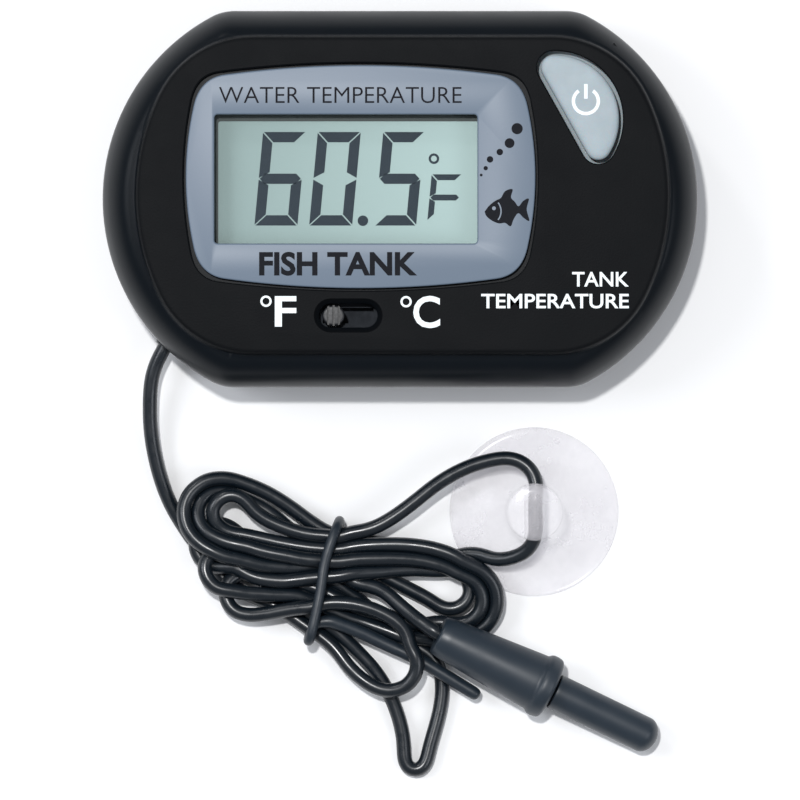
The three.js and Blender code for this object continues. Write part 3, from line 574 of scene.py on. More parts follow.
# Case ----------------------------------------------------------------------------------------
# Two shells of black ABS, moulded and closed with four screws from the back. The front shell's
# rim rolls up to a raised flat face, with a recess for the label, a hole for the display, one for
# the power key and a slot for the unit switch. The back shell holds the battery well.

CASE_SCREWS = [(-17, 14.3), (-17, -14.3), (2.5, -15.2), (24.3, 3)]
BOARD_SCREWS = [(-24.5, 0), (8.2, 15), (9, -14)]
WELL = Vector((16.9, -7.3, 0))
SWITCH = Vector((-5.3, -11.96, 0))
KEY_PLACE = Vector((15.8, 8.1))


def arc(x, y, radius, start, stop, steps):
    turns = np.radians(np.linspace(start, stop, steps + 1))
    return [Vector((x + radius * math.cos(t), y + radius * math.sin(t))) for t in turns]


def oval(half_height, end, far, corner, inset, x=0, y=0):
    """Two large end arcs, flat top and bottom edges, and a rounded corner between them."""
    high = half_height - corner
    wide = far + math.sqrt((end - corner) ** 2 - high**2)
    turn = math.degrees(math.atan2(high, wide - far))
    line = arc(x + far, y, end - inset, -turn, turn, 56)
    line += arc(x + wide, y + high, corner - inset, turn, 90, 12)[1:]
    line += arc(x - wide, y + high, corner - inset, 90, 180 - turn, 12)
    line += arc(x - far, y, end - inset, 180 - turn, 180 + turn, 56)[1:]
    line += arc(x - wide, y - high, corner - inset, 180 + turn, 270, 12)[1:]
    return line + arc(x + wide, y - high, corner - inset, 270, 360 - turn, 12)[:-1]


def case_outline(inset):
    return oval(19.3, 21.25, 9.25, 5, inset)


def face_outline(inset):
    """The raised face: rounder at its corners than the case, and set a little to the upper right."""
    return oval(16.35, 23.6, 3.74, 10.7, inset, 0.27, 0.35)


def key_outline(grow):
    """A circle cut by a chord, with rounded corners, turned to face the case's upper right."""
    near = 1.2 + 1.3
    across = math.sqrt((6.6 - 1.3) ** 2 - near**2)
    half = math.degrees(math.atan2(across, near))
    line = arc(0, 0, 6.6 + grow, -half, half, 40)
    line += arc(near, across, 1.3 + grow, half, 180, 10)[1:]
    line += arc(near, -across, 1.3 + grow, 180, 360 - half, 10)[:-1]
    return [Matrix.Rotation(math.radians(29.2), 2) @ point + KEY_PLACE for point in line]


def slot_outline(x, width, height):
    """A slot with round ends, on the unit switch's line."""
    reach = (width - height) / 2
    line = arc(x + reach, SWITCH.y, height / 2, -90, 90, 16)
    return line + arc(x - reach, SWITCH.y, height / 2, 90, 270, 16)


def label_outline(grow):
    """A rectangle whose sides swell outwards, with rounded corners."""
    half_x, half_y = 17.875 + grow, 11.4 + grow
    corner_x, corner_y = half_x - 0.8, half_y - 0.95
    start_x, start_y = corner_x - 3.2, corner_y - 3.2
    quarter = [
        ((corner_x, -start_y), (2 * half_x - corner_x, 0), (corner_x, start_y), 16),
        ((corner_x, start_y), (corner_x - 0.63, corner_y - 0.35), (start_x, corner_y), 12),
        ((start_x, corner_y), (0, 2 * half_y - corner_y), (-start_x, corner_y), 24),
        ((-start_x, corner_y), (0.63 - corner_x, corner_y - 0.35), (-corner_x, start_y), 12),
    ]
    line = []
    for left_shade_ramp in (1, -1):
        for a, b, c, steps in quarter:
            a, b, c = Vector(a) * left_shade_ramp, Vector(b) * left_shade_ramp, Vector(c) * left_shade_ramp
            for t in np.arange(steps) / steps:
                line.append(a.lerp(b, t).lerp(b.lerp(c, t), t) + Vector((-4.03, 2.23)))
    return line


def plate(outlines, low, high):
    """A flat plate: closed outlines drawn as a curve, filled and raised. An inner one is a hole."""
    drawing = bpy.data.curves.new("outline", "CURVE")
    drawing.dimensions = "2D"
    drawing.fill_mode = "BOTH"
    drawing.extrude = (high - low) / 2
    for outline in outlines:
        edge = drawing.splines.new("POLY")
        edge.points.add(len(outline) - 1)
        for knot, point in zip(edge.points, outline):
            knot.co = (point[0], point[1], 0, 1)
        edge.use_cyclic_u = True
    piece = bpy.data.objects.new("outline", drawing)
    bpy.context.collection.objects.link(piece)
    piece.location.z = (low + high) / 2
    pick_only(piece)
    bpy.ops.object.convert(target="MESH")
    bpy.ops.object.transform_apply(location=True)
    bpy.ops.object.mode_set(mode="EDIT")
    bpy.ops.mesh.select_all(action="SELECT")
    bpy.ops.mesh.remove_doubles(threshold=1e-4)
    bpy.ops.mesh.normals_make_consistent(inside=False)
    bpy.ops.mesh.dissolve_limited(angle_limit=math.radians(0.3))
    bpy.ops.object.mode_set(mode="OBJECT")
    return bpy.context.object


def choose(kind, test):
    """In edit mode, selects only the vertices, edges or faces that pass a test."""
    bpy.ops.mesh.select_mode(type={"verts": "VERT", "edges": "EDGE", "faces": "FACE"}[kind])
    bpy.ops.mesh.select_all(action="DESELECT")
    mesh = bmesh.from_edit_mesh(bpy.context.object.data)
    for part in getattr(mesh, kind):
        part.select_set(bool(test(part)))
    mesh.select_flush_mode()
    bmesh.update_edit_mesh(bpy.context.object.data)


def stepped(piece, levels):
    """Carries the piece's top or bottom face through levels (inset, height), the first its own."""
    way = 1 if levels[-1][1] > levels[0][1] else -1
    pick_only(piece)
    bpy.ops.object.mode_set(mode="EDIT")
    choose("faces", lambda face: face.normal.z * way > 0.99)
    for (inset, height), (next_inset, next_height) in zip(levels, levels[1:]):
        rise = (next_height - height) * way
        if next_inset > inset:
            bpy.ops.mesh.inset(thickness=next_inset - inset, depth=rise)
        else:
            bpy.ops.mesh.extrude_region_move(TRANSFORM_OT_translate={"value": (0, 0, rise * way)})
    bpy.ops.object.mode_set(mode="OBJECT")
    return piece


def rod(place, radius, low, high, sides=40):
    bpy.ops.mesh.primitive_cylinder_add(
        vertices=sides, radius=radius, depth=high - low,
        location=(place[0], place[1], (low + high) / 2),
    )
    bpy.ops.object.transform_apply(location=True)
    return bpy.context.object


def block(x, y, width, height, low, high):
    bpy.ops.mesh.primitive_cube_add(size=1, location=(x, y, (low + high) / 2))
    bpy.context.object.scale = (width, height, high - low)
    bpy.ops.object.transform_apply(location=True, scale=True)
    return bpy.context.object


def together(pieces):
    """Joins loose pieces into one object, to be used as one tool."""
    pick_only(pieces[0])
    for piece in pieces:
        piece.select_set(True)
    bpy.ops.object.join()
    return bpy.context.object


def post_top(place):
    return 13.5 if abs(place[1]) < 15 else 12.9


front = stepped(plate([case_outline(0)], 8.3, 8.6), [
    (0, 8.6), (0.05, 9.3), (0.13, 9.8), (0.25, 10.2), (0.47, 10.9), (0.7, 11.45), (0.95, 11.95),
    (1.25, 12.45), (1.6, 12.9), (2, 13.27), (2.35, 13.5), (2.8, 13.65), (3.4, 13.72), (4.3, 13.74),
])
combined(front, stepped(plate([face_outline(-0.3)], 13, 13.6), [
    (-0.3, 13.6), (-0.1, 13.72), (-0.02, 13.85), (0.03, 14.2), (0.09, 14.5), (0.17, 14.73),
    (0.29, 14.89), (0.45, 14.97), (0.65, 15),
]), "UNION")
stepped(front, [(0, 8.3), (0.04, 7.6), (0.1, 6.9), (0.15, 6.5)])
combined(front, stepped(plate([case_outline(1)], 6, 7.5), [
    (1, 7.5), (1.75, 7.501), (1.75, 9.5), (2.3, 11.5), (3.3, 12.9), (3.9, 13.4),
]), "DIFFERENCE")
posts = [rod(place, 2.2, 6.35, post_top(place)) for place in CASE_SCREWS]
posts += [rod(place, 1.9, 9.05, post_top(place)) for place in BOARD_SCREWS]
combined(front, together(posts), "UNION")
holes = [rod(place, 1.15, 6, 11, 24) for place in CASE_SCREWS]
holes += [rod(place, 0.85, 9, 12.2, 24) for place in BOARD_SCREWS]
combined(front, together(holes), "DIFFERENCE")
combined(front, stepped(plate([label_outline(0.67)], 15.4, 15.5), [
    (0, 15.4), (0.3, 15), (0.34, 14.93), (0.42, 14.88), (0.42, 14),
]), "DIFFERENCE")
combined(front, stepped(plate([key_outline(0.82)], 15.4, 15.5), [
    (0, 15.4), (0.3, 15), (0.34, 14.93), (0.42, 14.88), (0.42, 12),
]), "DIFFERENCE")
combined(front, stepped(plate([slot_outline(-5.3, 7.45, 3.9)], 15.4, 15.5), [
    (0, 15.4), (0.2, 15), (0.25, 14.93), (0.68, 14.45), (0.72, 14.35), (0.72, 12),
]), "DIFFERENCE")
combined(front, block(-5.54, 2, 28.5, 14.8, 12, 14.5), "DIFFERENCE")

back = stepped(plate([case_outline(0.2)], 6, 6.4), [
    (0.2, 6), (0.28, 2), (0.33, 1.5), (0.42, 1.1), (0.58, 0.7), (0.82, 0.36), (1.16, 0.12), (1.6, 0),
])
stepped(back, [(0.2, 6.4), (1.15, 6.401), (1.15, 7.3)])
combined(back, plate([case_outline(1.8)], 1.6, 9), "DIFFERENCE")
posts = [rod(place, 2.6, 1, 6) for place in CASE_SCREWS]
combined(back, together(posts), "UNION")
combined(back, rod(WELL, 8.9, 1, 3.8, 72), "UNION")
combined(back, rod(WELL, 6.7, 1, 12.6, 72), "UNION")
combined(back, rod(WELL, 6.8, -1, 1.7, 72), "DIFFERENCE")
combined(back, rod(WELL, 8.1, 1.6, 3, 72), "DIFFERENCE")
combined(back, rod(WELL, 5.95, 1.65, 13, 72), "DIFFERENCE")
strip_gap = block(6.3, 0, 1.8, 2.2, 2.8, 13)
strip_gap.data.transform(Matrix.Translation(WELL) @ Matrix.Rotation(math.radians(200), 4, "Z"))
combined(back, strip_gap, "DIFFERENCE")
for turn in (150, 330):
    notch = arc(WELL.x, WELL.y, 8.1, turn - 15, turn + 15, 12)
    notch += arc(WELL.x, WELL.y, 6.5, turn + 15, turn - 15, 12)
    combined(back, plate([notch], -1, 2.1), "DIFFERENCE")
combined(back, together([rod(place, 2.1, -1, 2.1, 32) for place in CASE_SCREWS]), "DIFFERENCE")
combined(back, together([rod(place, 1.15, 0, 7, 24) for place in CASE_SCREWS]), "DIFFERENCE")
exit_way = Vector((math.cos(math.radians(236)), math.sin(math.radians(236)), 0))
exit_turn = exit_way.to_track_quat("Z", "Y").to_matrix().to_4x4()
exit_hole = rod((0, 0), 1.4, -4, 2)
exit_hole.data.transform(Matrix.Translation((-24, -14.8, 3.5)) @ exit_turn)
combined(back, exit_hole, "DIFFERENCE")

# ABS from a spark-eroded mould. The flat face is matt, with a grain of 0.1 mm that is drawn at
# 0.2 mm so that it shows. The rolled rim is smoother, and it is painted lighter and bluer than the
# face: a painted sheen for the light that the rim catches.
case_abs, tree = new_material("moulded_black_abs")
place = add_node(tree, "ShaderNodeTexCoord")
parts = add_node(tree, "ShaderNodeSeparateXYZ", {"Vector": place.outputs["Object"]})
on_face = add_node(tree, "ShaderNodeMapRange", {
    "Value": parts.outputs["Z"], "From Min": 0.0138, "From Max": 0.0149,
})
grain = add_node(tree, "ShaderNodeTexNoise", {
    "Vector": place.outputs["Object"], "Scale": 5000, "Detail": 3, "Roughness": 0.6,
})
patches = add_node(tree, "ShaderNodeTexNoise", {
    "Vector": place.outputs["Object"], "Scale": 220, "Detail": 4, "Roughness": 0.55,
})
# Painted sheen: below the face the rim gets a lighter, bluer colour than the flat face.
tone = add_node(tree, "ShaderNodeMix", {
    0: on_face.outputs["Result"], 6: linear("#0c1116"), 7: linear("#06080b"),
}, data_type="RGBA")
polish = add_node(tree, "ShaderNodeMapRange", {
    "Value": on_face.outputs["Result"], "To Min": 0.28, "To Max": 0.55,
})
shade = add_node(tree, "ShaderNodeMath", {
    0: patches.outputs["Fac"], 1: 0.12, 2: polish.outputs["Result"],
}, operation="MULTIPLY_ADD")
bump = add_node(tree, "ShaderNodeBump", {
    "Height": grain.outputs["Fac"], "Strength": on_face.outputs["Result"], "Distance": 0.00003,
})
shader = add_node(tree, "ShaderNodeBsdfPrincipled", {
    "Base Color": tone.outputs[2], "Roughness": shade.outputs["Value"], "IOR": 1.5,
    "Specular IOR Level": 0.11, "Normal": bump.outputs["Normal"],
})
add_node(tree, "ShaderNodeOutputMaterial", {"Surface": shader.outputs["BSDF"]})
fitted(front, "front_moulding", case_abs, ["front_shell"], angle=28)
fitted(back, "back_moulding", case_abs, ["back_shell"], angle=28)

# Label ---------------------------------------------------------------------------------------
# A thin plate of grey-blue film on hard plastic, glued into the face's recess round the display.
# Its edge is rounded, and the words and the fish are printed on it in black.

window = [(-18.99, -4.6), (7.91, -4.6), (7.91, 8.6), (-18.99, 8.6)]
window_corner = [(x - 0.35 * (1 if x > 0 else -1), y - 0.35 * (1 if y > 2 else -1)) for x, y in window]
opening = []
for (x, y), start in zip(window_corner, (180, 270, 0, 90)):
    opening += arc(x, y, 0.35, start, start + 90, 6)
label = plate([label_outline(0), opening], 14.05, 15.15)
pick_only(label)
bpy.ops.object.mode_set(mode="EDIT")
choose("edges", lambda edge: (
    all(abs(v.co.z - 15.15) < 1e-3 for v in edge.verts)
    and sum(face.normal.z > 0.9 for face in edge.link_faces) == 1
))
bpy.ops.mesh.bevel(offset=0.16, segments=3, affect="EDGES")
bpy.ops.object.mode_set(mode="OBJECT")

# Printed polyester film: an even grey-blue with a satin varnish and a very fine tooth.
label_film, tree = new_material("grey_blue_polyester_film")
place = add_node(tree, "ShaderNodeTexCoord")
tooth = add_node(tree, "ShaderNodeTexNoise", {
    "Vector": place.outputs["Object"], "Scale": 4000, "Detail": 2, "Roughness": 0.5,
})
drift = add_node(tree, "ShaderNodeTexNoise", {
    "Vector": place.outputs["Object"], "Scale": 60, "Detail": 3, "Roughness": 0.5,
})
tone = add_node(tree, "ShaderNodeMix", {
    0: drift.outputs["Fac"], 6: linear("#5f6d7d"), 7: linear("#667484"),
}, data_type="RGBA")
bump = add_node(tree, "ShaderNodeBump", {
    "Height": tooth.outputs["Fac"], "Strength": 0.2, "Distance": 0.00001,
})
shader = add_node(tree, "ShaderNodeBsdfPrincipled", {
    "Base Color": tone.outputs[2], "Roughness": 0.42, "IOR": 1.5, "Normal": bump.outputs["Normal"],
})
add_node(tree, "ShaderNodeOutputMaterial", {"Surface": shader.outputs["BSDF"]})
fitted(label, "label_plate", label_film, ["label_panel"])

# Screen ink, printed in one pass and 0.02 mm thick: matt black on the label, white on the case.
inks = {}
for name, code in (("black_screen_ink", "#12141a"), ("white_screen_ink", "#eef5f6")):
    inks[name], tree = new_material(name)
    place = add_node(tree, "ShaderNodeTexCoord")
    mesh_marks = add_node(tree, "ShaderNodeTexNoise", {
        "Vector": place.outputs["Object"], "Scale": 6000, "Detail": 2, "Roughness": 0.6,
    })
    shade = add_node(tree, "ShaderNodeMapRange", {
        "Value": mesh_marks.outputs["Fac"], "To Min": 0.5, "To Max": 0.75,
    })
    shader = add_node(tree, "ShaderNodeBsdfPrincipled", {
        "Base Color": linear(code), "Roughness": shade.outputs["Result"], "Specular IOR Level": 0.12,
    })
    add_node(tree, "ShaderNodeOutputMaterial", {"Surface": shader.outputs["BSDF"]})


def lettering(name, words, left, right, bottom, top, height, weight, ink, body="root"):
    """Printed words, stretched to fill a box on a surface at a height."""
    text = bpy.data.curves.new(name, "FONT")
    text.body = words
    text.size = 3
    text.offset = weight
    text.resolution_u = 4
    text.extrude = 0.01
    piece = bpy.data.objects.new(name, text)
    bpy.context.collection.objects.link(piece)
    pick_only(piece)
    bpy.ops.object.convert(target="MESH")
    piece = bpy.context.object
    corners = np.array([v.co for v in piece.data.vertices])
    low, high = corners.min(0), corners.max(0)
    wide, tall = (right - left) / (high[0] - low[0]), (top - bottom) / (high[1] - low[1])
    piece.data.transform(
        Matrix.Translation((left - low[0] * wide, bottom - low[1] * tall, height + 0.012))
        @ Matrix.Diagonal((wide, tall, 1, 1))
    )
    return fitted(piece, name, inks[ink], body=body)


def printed(outlines, surface):
    """Flat marks of ink: a film 0.02 mm thick, a hair above the surface that carries it."""
    return plate(outlines, surface + 0.002, surface + 0.022)


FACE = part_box("front_shell")[1].z * 1000
LABEL_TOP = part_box("label_panel")[1].z * 1000
for name, words, left, right, bottom, top, weight in (
    ("print_upper_line", "WATER TEMPERATURE", -18.5, 6.3, 9.75, 11.4, -0.02),
    ("print_lower_line", "FISH TANK", -14.4, 1.75, -7.9, -5.45, 0.1),
):
    lettering(name, words, left, right, bottom, top, LABEL_TOP, weight, "black_screen_ink")
for name, words, left, right, bottom, top, weight in (
    ("print_f", "F", -12.8, -10.6, -13.1, -9.98, 0.05),
    ("print_c", "C", 1.35, 4.1, -13.25, -9.95, 0.05),
    ("print_case_line_1", "TANK", 17.6, 23.4, -9, -7.5, 0.045),
    ("print_case_line_2", "TEMPERATURE", 8.3, 23.4, -11.24, -9.74, 0.045),
):
    lettering(name, words, left, right, bottom, top, FACE, weight, "white_screen_ink")


def ring(x, y, outer, inner):
    return [arc(x, y, outer, 0, 350, 35), arc(x, y, inner, 0, 350, 35)]


degrees = printed(ring(-13.7, -10.5, 0.58, 0.36) + ring(0.62, -10.55, 0.58, 0.36), FACE)
fitted(degrees, "print_degree_rings", inks["white_screen_ink"])
bubbles = [
    (11.97, 7.14, 0.57), (11.2, 5.66, 0.5), (10.2, 4.75, 0.33), (9.2, 4, 0.33), (8.76, 3.1, 0.22),
    (8.3, 2.4, 0.14),
]
dots = printed([arc(x, y, radius, 0, 350, 35) for x, y, radius in bubbles], LABEL_TOP)
fitted(dots, "print_bubbles", inks["black_screen_ink"])
fish = [
    (8.65, -1.35), (9.1, -0.75), (9.8, -0.2), (10.3, 0.05), (10.75, 0.75), (11.5, 0.95), (11.35, 0.1),
    (11.75, -0.35), (12.1, -0.8), (12.6, -0.25), (13.15, 0), (12.95, -1.1), (13.2, -2.3), (12.6, -1.95),
    (12.1, -1.5), (11.6, -2.15), (11.3, -2.85), (10.75, -2.5), (10.1, -2.55), (9.3, -2.2), (8.8, -1.75),
]
fish_line = along(np.c_[np.array(fish + fish[:1]), np.zeros(len(fish) + 1)], 0.12)[:-1, :2]
gill = arc(8.9, -1.3, 1.5, -38, 38, 10) + arc(8.9, -1.3, 1.36, 38, -38, 10)
fish_print = printed([fish_line, gill, arc(9.6, -1, 0.2, 0, 340, 17)], LABEL_TOP)
fitted(fish_print, "print_fish", inks["black_screen_ink"])

# Display -------------------------------------------------------------------------------------
# Behind a clear acrylic window lies the liquid crystal cell: two glass plates under a polariser
# film, on a reflector. Rubber strips join it to the board, in a black holder.

# Clear sheet: acrylic for the window, soda-lime glass for the cell. It shows by its gloss.
sheets = {}
for name, code, clear, index in (
    ("clear_cast_acrylic", "#5f6a6c", 0.03, 1.49), ("display_cell_glass", "#5c6a64", 0.02, 1.52),
):
    sheets[name], tree = new_material(name)
    place = add_node(tree, "ShaderNodeTexCoord")
    smears = add_node(tree, "ShaderNodeTexNoise", {
        "Vector": place.outputs["Object"], "Scale": 150, "Detail": 4, "Roughness": 0.65,
    })
    shade = add_node(tree, "ShaderNodeMapRange", {
        "Value": smears.outputs["Fac"], "From Min": 0.3, "From Max": 0.7, "To Min": 0.08, "To Max": 0.16,
    })
    shader = add_node(tree, "ShaderNodeBsdfPrincipled", {
        "Base Color": linear(code), "Roughness": shade.outputs["Result"], "IOR": index, "Alpha": clear,
    })
    add_node(tree, "ShaderNodeOutputMaterial", {"Surface": shader.outputs["BSDF"]})

# Polariser film on the cell and foil behind it: grey-green and faintly drawn in one direction. It
# is painted a little darker towards the left: painted shade across the cell.
cell_film, tree = new_material("grey_green_polariser")
place = add_node(tree, "ShaderNodeTexCoord")
rubbed = add_node(tree, "ShaderNodeMapping", {"Vector": place.outputs["Object"], "Scale": (1, 12, 1)})
lines = add_node(tree, "ShaderNodeTexNoise", {
    "Vector": rubbed.outputs["Vector"], "Scale": 900, "Detail": 3, "Roughness": 0.6,
})
parts = add_node(tree, "ShaderNodeSeparateXYZ", {"Vector": place.outputs["Object"]})
# Painted shade: the colour darkens from right to left across the cell.
left_shade_ramp = add_node(tree, "ShaderNodeMapRange", {
    "Value": parts.outputs["X"], "From Min": -0.0185, "From Max": 0.0075,
})
tone = add_node(tree, "ShaderNodeMix", {
    0: left_shade_ramp.outputs["Result"], 6: linear("#8ea3a0"), 7: linear("#aec6c2"),
}, data_type="RGBA")
shade = add_node(tree, "ShaderNodeMapRange", {
    "Value": lines.outputs["Fac"], "To Min": 0.45, "To Max": 0.65,
})
shader = add_node(tree, "ShaderNodeBsdfPrincipled", {
    "Base Color": tone.outputs[2], "Roughness": shade.outputs["Result"], "Specular IOR Level": 0.3,
})
add_node(tree, "ShaderNodeOutputMaterial", {"Surface": shader.outputs["BSDF"]})

# Black glass-filled nylon of the holder and the switch, and the carbon-loaded silicone rubber.
darks = {}
for name, code, rough, grit in (
    ("black_nylon", "#14161a", 0.45, 3000), ("carbon_silicone_rubber", "#1c1d1f", 0.75, 1500),
    ("black_chip_epoxy", "#0f1113", 0.3, 800), ("glazed_ceramic", "#a98a66", 0.5, 2500),
    ("thermistor_epoxy", "#2c2a26", 0.35, 1200),
):
    darks[name], tree = new_material(name)
    place = add_node(tree, "ShaderNodeTexCoord")
    grit_marks = add_node(tree, "ShaderNodeTexNoise", {
        "Vector": place.outputs["Object"], "Scale": grit, "Detail": 3, "Roughness": 0.6,
    })
    shade = add_node(tree, "ShaderNodeMapRange", {
        "Value": grit_marks.outputs["Fac"], "To Min": rough - 0.1, "To Max": rough + 0.1,
    })
    bump = add_node(tree, "ShaderNodeBump", {
        "Height": grit_marks.outputs["Fac"], "Strength": 0.3, "Distance": 0.00002,
    })
    shader = add_node(tree, "ShaderNodeBsdfPrincipled", {
        "Base Color": linear(code), "Roughness": shade.outputs["Result"], "Normal": bump.outputs["Normal"],
    })
    add_node(tree, "ShaderNodeOutputMaterial", {"Surface": shader.outputs["BSDF"]})


def finish_nodes(material, *names):
    """Gives CAD nodes whose shape is right their real finish."""
    for name in names:
        node = frame["nodes"][name]
        for place in node.material_slots:
            place.link = "OBJECT"
            place.material = material


finish_nodes(sheets["clear_cast_acrylic"], "display_window")
finish_nodes(sheets["display_cell_glass"], "lcd_back_glass")
finish_nodes(cell_film, "lcd_front_glass", "lcd_reflector")
finish_nodes(darks["black_nylon"], "lcd_holder")
finish_nodes(darks["carbon_silicone_rubber"], "zebra_strip_upper", "zebra_strip_lower")

SEGMENTS = {"6": "AFGECD", "0": "AFBECD", "5": "AFGCD", "F": "AFGE"}


def digit(sign, x, y, width, height, thick):
    """The lit segments of a sign, with mitred ends and thin gaps, leaning 5.3 degrees."""
    gap, mid, half = 0.09, height / 2, thick / 2
    drawn = {
        "A": [(gap, height), (width - gap, height), (width - gap - thick, height - thick),
              (gap + thick, height - thick)],
        "G": [(gap, mid), (gap + half, mid + half), (width - gap - half, mid + half), (width - gap, mid),
              (width - gap - half, mid - half), (gap + half, mid - half)],
        "F": [(0, height - gap), (thick, height - gap - thick), (thick, mid + half + gap * 1.5),
              (0, mid + gap)],
    }
    drawn["B"] = [(width - px, py) for px, py in drawn["F"]]
    drawn["E"] = [(px, height - py) for px, py in drawn["F"]]
    drawn["C"] = [(width - px, height - py) for px, py in drawn["F"]]
    drawn["D"] = [(px, height - py) for px, py in drawn["A"]]
    lean = math.tan(math.radians(5.3))
    return [[(x + px + py * lean, y + py) for px, py in drawn[letter]] for letter in SEGMENTS[sign]]


segments = digit("6", -14.9, -2.74, 4.4, 9.57, 1.05) + digit("0", -9.3, -2.74, 4.4, 9.57, 1.05)
segments += digit("5", -2.6, -2.74, 4.25, 9.57, 1.05) + digit("F", 2.8, -2.25, 3.1, 4.75, 0.6)
segments += [arc(-3.8, -2.25, 0.54, 0, 345, 23)] + ring(3.47, 4.1, 0.54, 0.3)

# Liquid crystal between crossed polarisers is blue-black where a segment is on. Along the
# window's upper left edge lies a painted shadow: a dark strip on the cell for the shadow that the
# window's edge casts on it.
cell_inks = {}
for name, code, other, scale, gloss in (
    ("liquid_crystal_on", "#28323a", "#2f3942", 700, 0.15),
    ("painted_window_shadow", "#2c3533", "#323c3a", 900, 0.5),
):
    cell_inks[name], tree = new_material(name)
    place = add_node(tree, "ShaderNodeTexCoord")
    fill = add_node(tree, "ShaderNodeTexNoise", {
        "Vector": place.outputs["Object"], "Scale": scale, "Detail": 2, "Roughness": 0.5,
    })
    tone = add_node(tree, "ShaderNodeMix", {
        0: fill.outputs["Fac"], 6: linear(code), 7: linear(other),
    }, data_type="RGBA")
    shader = add_node(tree, "ShaderNodeBsdfPrincipled", {
        "Base Color": tone.outputs[2], "Roughness": 0.6, "Specular IOR Level": gloss,
    })
    add_node(tree, "ShaderNodeOutputMaterial", {"Surface": shader.outputs["BSDF"]})
CELL_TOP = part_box("lcd_front_glass")[1].z * 1000
fitted(printed(segments, CELL_TOP), "lcd_digits", cell_inks["liquid_crystal_on"])
# Painted shadow: a dark L-shaped strip along the window's upper and left edges, on top of the cell.
shadow_band_outline = [
    (-19.8, -5.1), (-18.6, -5.1), (-18.6, 7.7), (-18.55, 7.84), (-18.4, 7.92), (8.8, 7.92), (8.8, 9.1),
    (-19.8, 9.1),
]
fitted(printed([shadow_band_outline], CELL_TOP), "lcd_painted_shadow_band", cell_inks["painted_window_shadow"])

# Power key -----------------------------------------------------------------------------------
# A key of pale translucent silicone rubber, with a skirt under the face and a plunger with a
# carbon pill. Its top is crowned at the edge, and the power sign is printed on it in white.

key = stepped(plate([key_outline(0)], 12.5, 14.9), [
    (0, 14.9), (0.03, 15.1), (0.1, 15.25), (0.22, 15.37), (0.4, 15.45), (0.7, 15.49), (1.1, 15.5),
])
skirt = plate([key_outline(0.6)], 12.1, 12.9)
combined(key, skirt, "UNION")
combined(key, rod((18.94, 9.86), 1.8, 10.65, 12.3), "UNION")

# Silicone rubber: pale blue-grey, silky, slightly translucent, mottled where it is thicker.
key_silicone, tree = new_material("pale_silicone_rubber")
place = add_node(tree, "ShaderNodeTexCoord")
mottle = add_node(tree, "ShaderNodeTexNoise", {
    "Vector": place.outputs["Object"], "Scale": 500, "Detail": 4, "Roughness": 0.6,
})
tone = add_node(tree, "ShaderNodeMix", {
    0: mottle.outputs["Fac"], 6: linear("#93a0a6"), 7: linear("#a9b4b9"),
}, data_type="RGBA")
bump = add_node(tree, "ShaderNodeBump", {
    "Height": mottle.outputs["Fac"], "Strength": 0.2, "Distance": 0.00003,
})
shader = add_node(tree, "ShaderNodeBsdfPrincipled", {
    "Base Color": tone.outputs[2], "Roughness": 0.55, "IOR": 1.41, "Subsurface Weight": 0.15,
    "Subsurface Scale": 0.0008, "Normal": bump.outputs["Normal"],
})
add_node(tree, "ShaderNodeOutputMaterial", {"Surface": shader.outputs["BSDF"]})
fitted(key, "power_key_cap", key_silicone, ["power_button"], body="power_key")

sign_x, sign_y = 19, 9.95
sign = [
    arc(sign_x, sign_y, 1.45, 125, 415, 40) + arc(sign_x, sign_y, 1.1, 415, 125, 40),
    [(sign_x - 0.18, sign_y + 0.25), (sign_x + 0.18, sign_y + 0.25), (sign_x + 0.18, sign_y + 1.75),
     (sign_x - 0.18, sign_y + 1.75)],
]
KEY_TOP = 15.5
fitted(printed(sign, KEY_TOP), "print_power_sign", inks["white_screen_ink"],
       body="power_key")
finish_nodes(darks["carbon_silicone_rubber"], "button_contact_pill")

# Unit switch ---------------------------------------------------------------------------------
# A small slide switch on the board. Its black nylon knob stands in the slot, ribbed across for
# the fingertip. Its can is folded from blackened steel.

knob = stepped(plate([slot_outline(-6.8, 2.3, 2.1)], 12.6, 14.2), [
    (0, 14.2), (0.05, 14.32), (0.14, 14.39), (0.25, 14.4),
])
combined(knob, block(-6.8, SWITCH.y, 1.4, 1, 10.4, 13), "UNION")
ribs = [block(-6.8 + step, SWITCH.y, 0.22, 3, 14.1, 15) for step in (-0.55, 0, 0.55)]
combined(knob, together(ribs), "DIFFERENCE")
fitted(knob, "switch_knob", darks["black_nylon"], ["unit_switch_knob"], body="unit_knob")

# Metals: nickel plate on cells, contacts and screws, gold on the key's pad, drawn copper for the
# wires and black oxide on the switch's can. Fine drawing lines break up the gloss.
metals = {}
for name, code, rough in (
    ("nickel_plated_steel", "#c4c3be", 0.28), ("gold_plating", "#cfa85a", 0.25),
    ("drawn_copper", "#b87345", 0.35), ("blackened_steel", "#1d1f22", 0.5),
):
    metals[name], tree = new_material(name)
    place = add_node(tree, "ShaderNodeTexCoord")
    drawn = add_node(tree, "ShaderNodeMapping", {"Vector": place.outputs["Object"], "Scale": (1, 1, 10)})
    lines = add_node(tree, "ShaderNodeTexNoise", {
        "Vector": drawn.outputs["Vector"], "Scale": 1200, "Detail": 3, "Roughness": 0.6,
    })
    shade = add_node(tree, "ShaderNodeMapRange", {
        "Value": lines.outputs["Fac"], "To Min": rough - 0.08, "To Max": rough + 0.12,
    })
    shader = add_node(tree, "ShaderNodeBsdfPrincipled", {
        "Base Color": linear(code), "Metallic": 1, "Roughness": shade.outputs["Result"],
    })
    add_node(tree, "ShaderNodeOutputMaterial", {"Surface": shader.outputs["BSDF"]})
finish_nodes(metals["blackened_steel"], "unit_switch_body")

# Battery -------------------------------------------------------------------------------------
# Two button cells lie on each other in the well, between a flat spring strip and a round plate.
# The cover locks with two tabs and is turned with a coin.

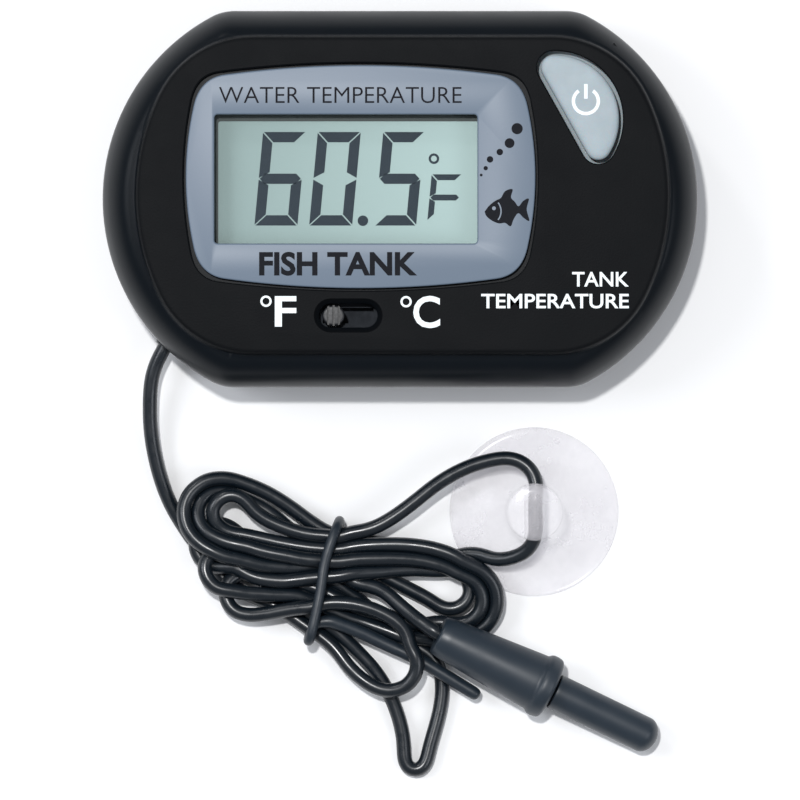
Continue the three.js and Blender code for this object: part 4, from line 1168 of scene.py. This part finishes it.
finish_nodes(metals["nickel_plated_steel"], "battery_cell_lower", "battery_cell_upper",
             "battery_contact_plus", "battery_contact_minus")
cover = turned(rounded([(0, 0.25), (6.1, 0.25), (6.5, 0.55), (6.5, 1.4), (0, 1.4)], 0.2, 3), 96)
cover.location = WELL
pick_only(cover)
bpy.ops.object.transform_apply(location=True)
for turn in (90, 270):
    for inner, outer, low in ((5.95, 6.45, 1.2), (5.95, 7.9, 1.75)):
        tab = arc(WELL.x, WELL.y, outer, turn - 12, turn + 12, 10)
        tab += arc(WELL.x, WELL.y, inner, turn + 12, turn - 12, 10)
        combined(cover, plate([tab], low, 2.7), "UNION")
combined(cover, plate([[
    *arc(WELL.x + 3.9, WELL.y, 0.8, -90, 90, 10), *arc(WELL.x - 3.9, WELL.y, 0.8, 90, 270, 10),
]], 0, 0.95), "DIFFERENCE")
fitted(cover, "battery_cover_moulding", case_abs, ["battery_cover"], body="cover")

# Screws --------------------------------------------------------------------------------------
# Cross-recessed tapping screws in nickel-plated steel: four through the back shell, three that
# hold the board to the front shell.

finish_nodes(metals["nickel_plated_steel"], *(f"case_screw_{n}" for n in (1, 2, 3, 4)),
             *(f"board_screw_{n}" for n in (1, 2, 3)))

# Circuit board -------------------------------------------------------------------------------
# Glass-fibre board under green solder mask, with the chip under a drop of black epoxy, a watch
# crystal, two ceramic capacitors, a resistor and the gold pad that the key's pill touches.

board_mask, tree = new_material("green_solder_mask")
place = add_node(tree, "ShaderNodeTexCoord")
weave = add_node(tree, "ShaderNodeTexBrick", {
    "Vector": place.outputs["Object"], "Scale": 700, "Color1": linear("#2f6b42"),
    "Color2": linear("#2a613b"), "Mortar": linear("#336f47"), "Mortar Size": 0.03,
})
shader = add_node(tree, "ShaderNodeBsdfPrincipled", {
    "Base Color": weave.outputs["Color"], "Roughness": 0.4, "IOR": 1.5,
})
add_node(tree, "ShaderNodeOutputMaterial", {"Surface": shader.outputs["BSDF"]})
finish_nodes(board_mask, "main_board")
finish_nodes(darks["black_chip_epoxy"], "chip_blob", "trim_resistor")
finish_nodes(darks["glazed_ceramic"], "capacitor_a", "capacitor_b")
finish_nodes(metals["nickel_plated_steel"], "watch_crystal")
finish_nodes(metals["gold_plating"], "button_contact_pad")

# Cord gland, wires and thermistor ------------------------------------------------------------
# The cord enters through a soft black PVC gland. Inside it splits in two insulated wires that go
# to the board. In the probe's tip two bare leads carry the thermistor, a bead of epoxy.

gland = turned(rounded([
    (0.8, -0.6), (0.8, 0.42), (0.95, 0.5), (1.1, 0.3), (1.1, -2.05), (1.6, -2.05), (1.6, -2.9), (0, -2.9),
    (0, -0.6), (0.8, -0.6),
], 0.08, 2), 48)
gland.data.transform(Matrix.Translation((-24, -14.8, 3.5)) @ exit_turn)
fitted(gland, "cord_gland_sleeve", cord_pvc, ["cord_gland"])
finish_nodes(cord_pvc, "sensor_wire_a")
finish_nodes(metals["drawn_copper"], "sensor_wire_b", "thermistor_lead_a", "thermistor_lead_b")
finish_nodes(darks["thermistor_epoxy"], "thermistor_bead")
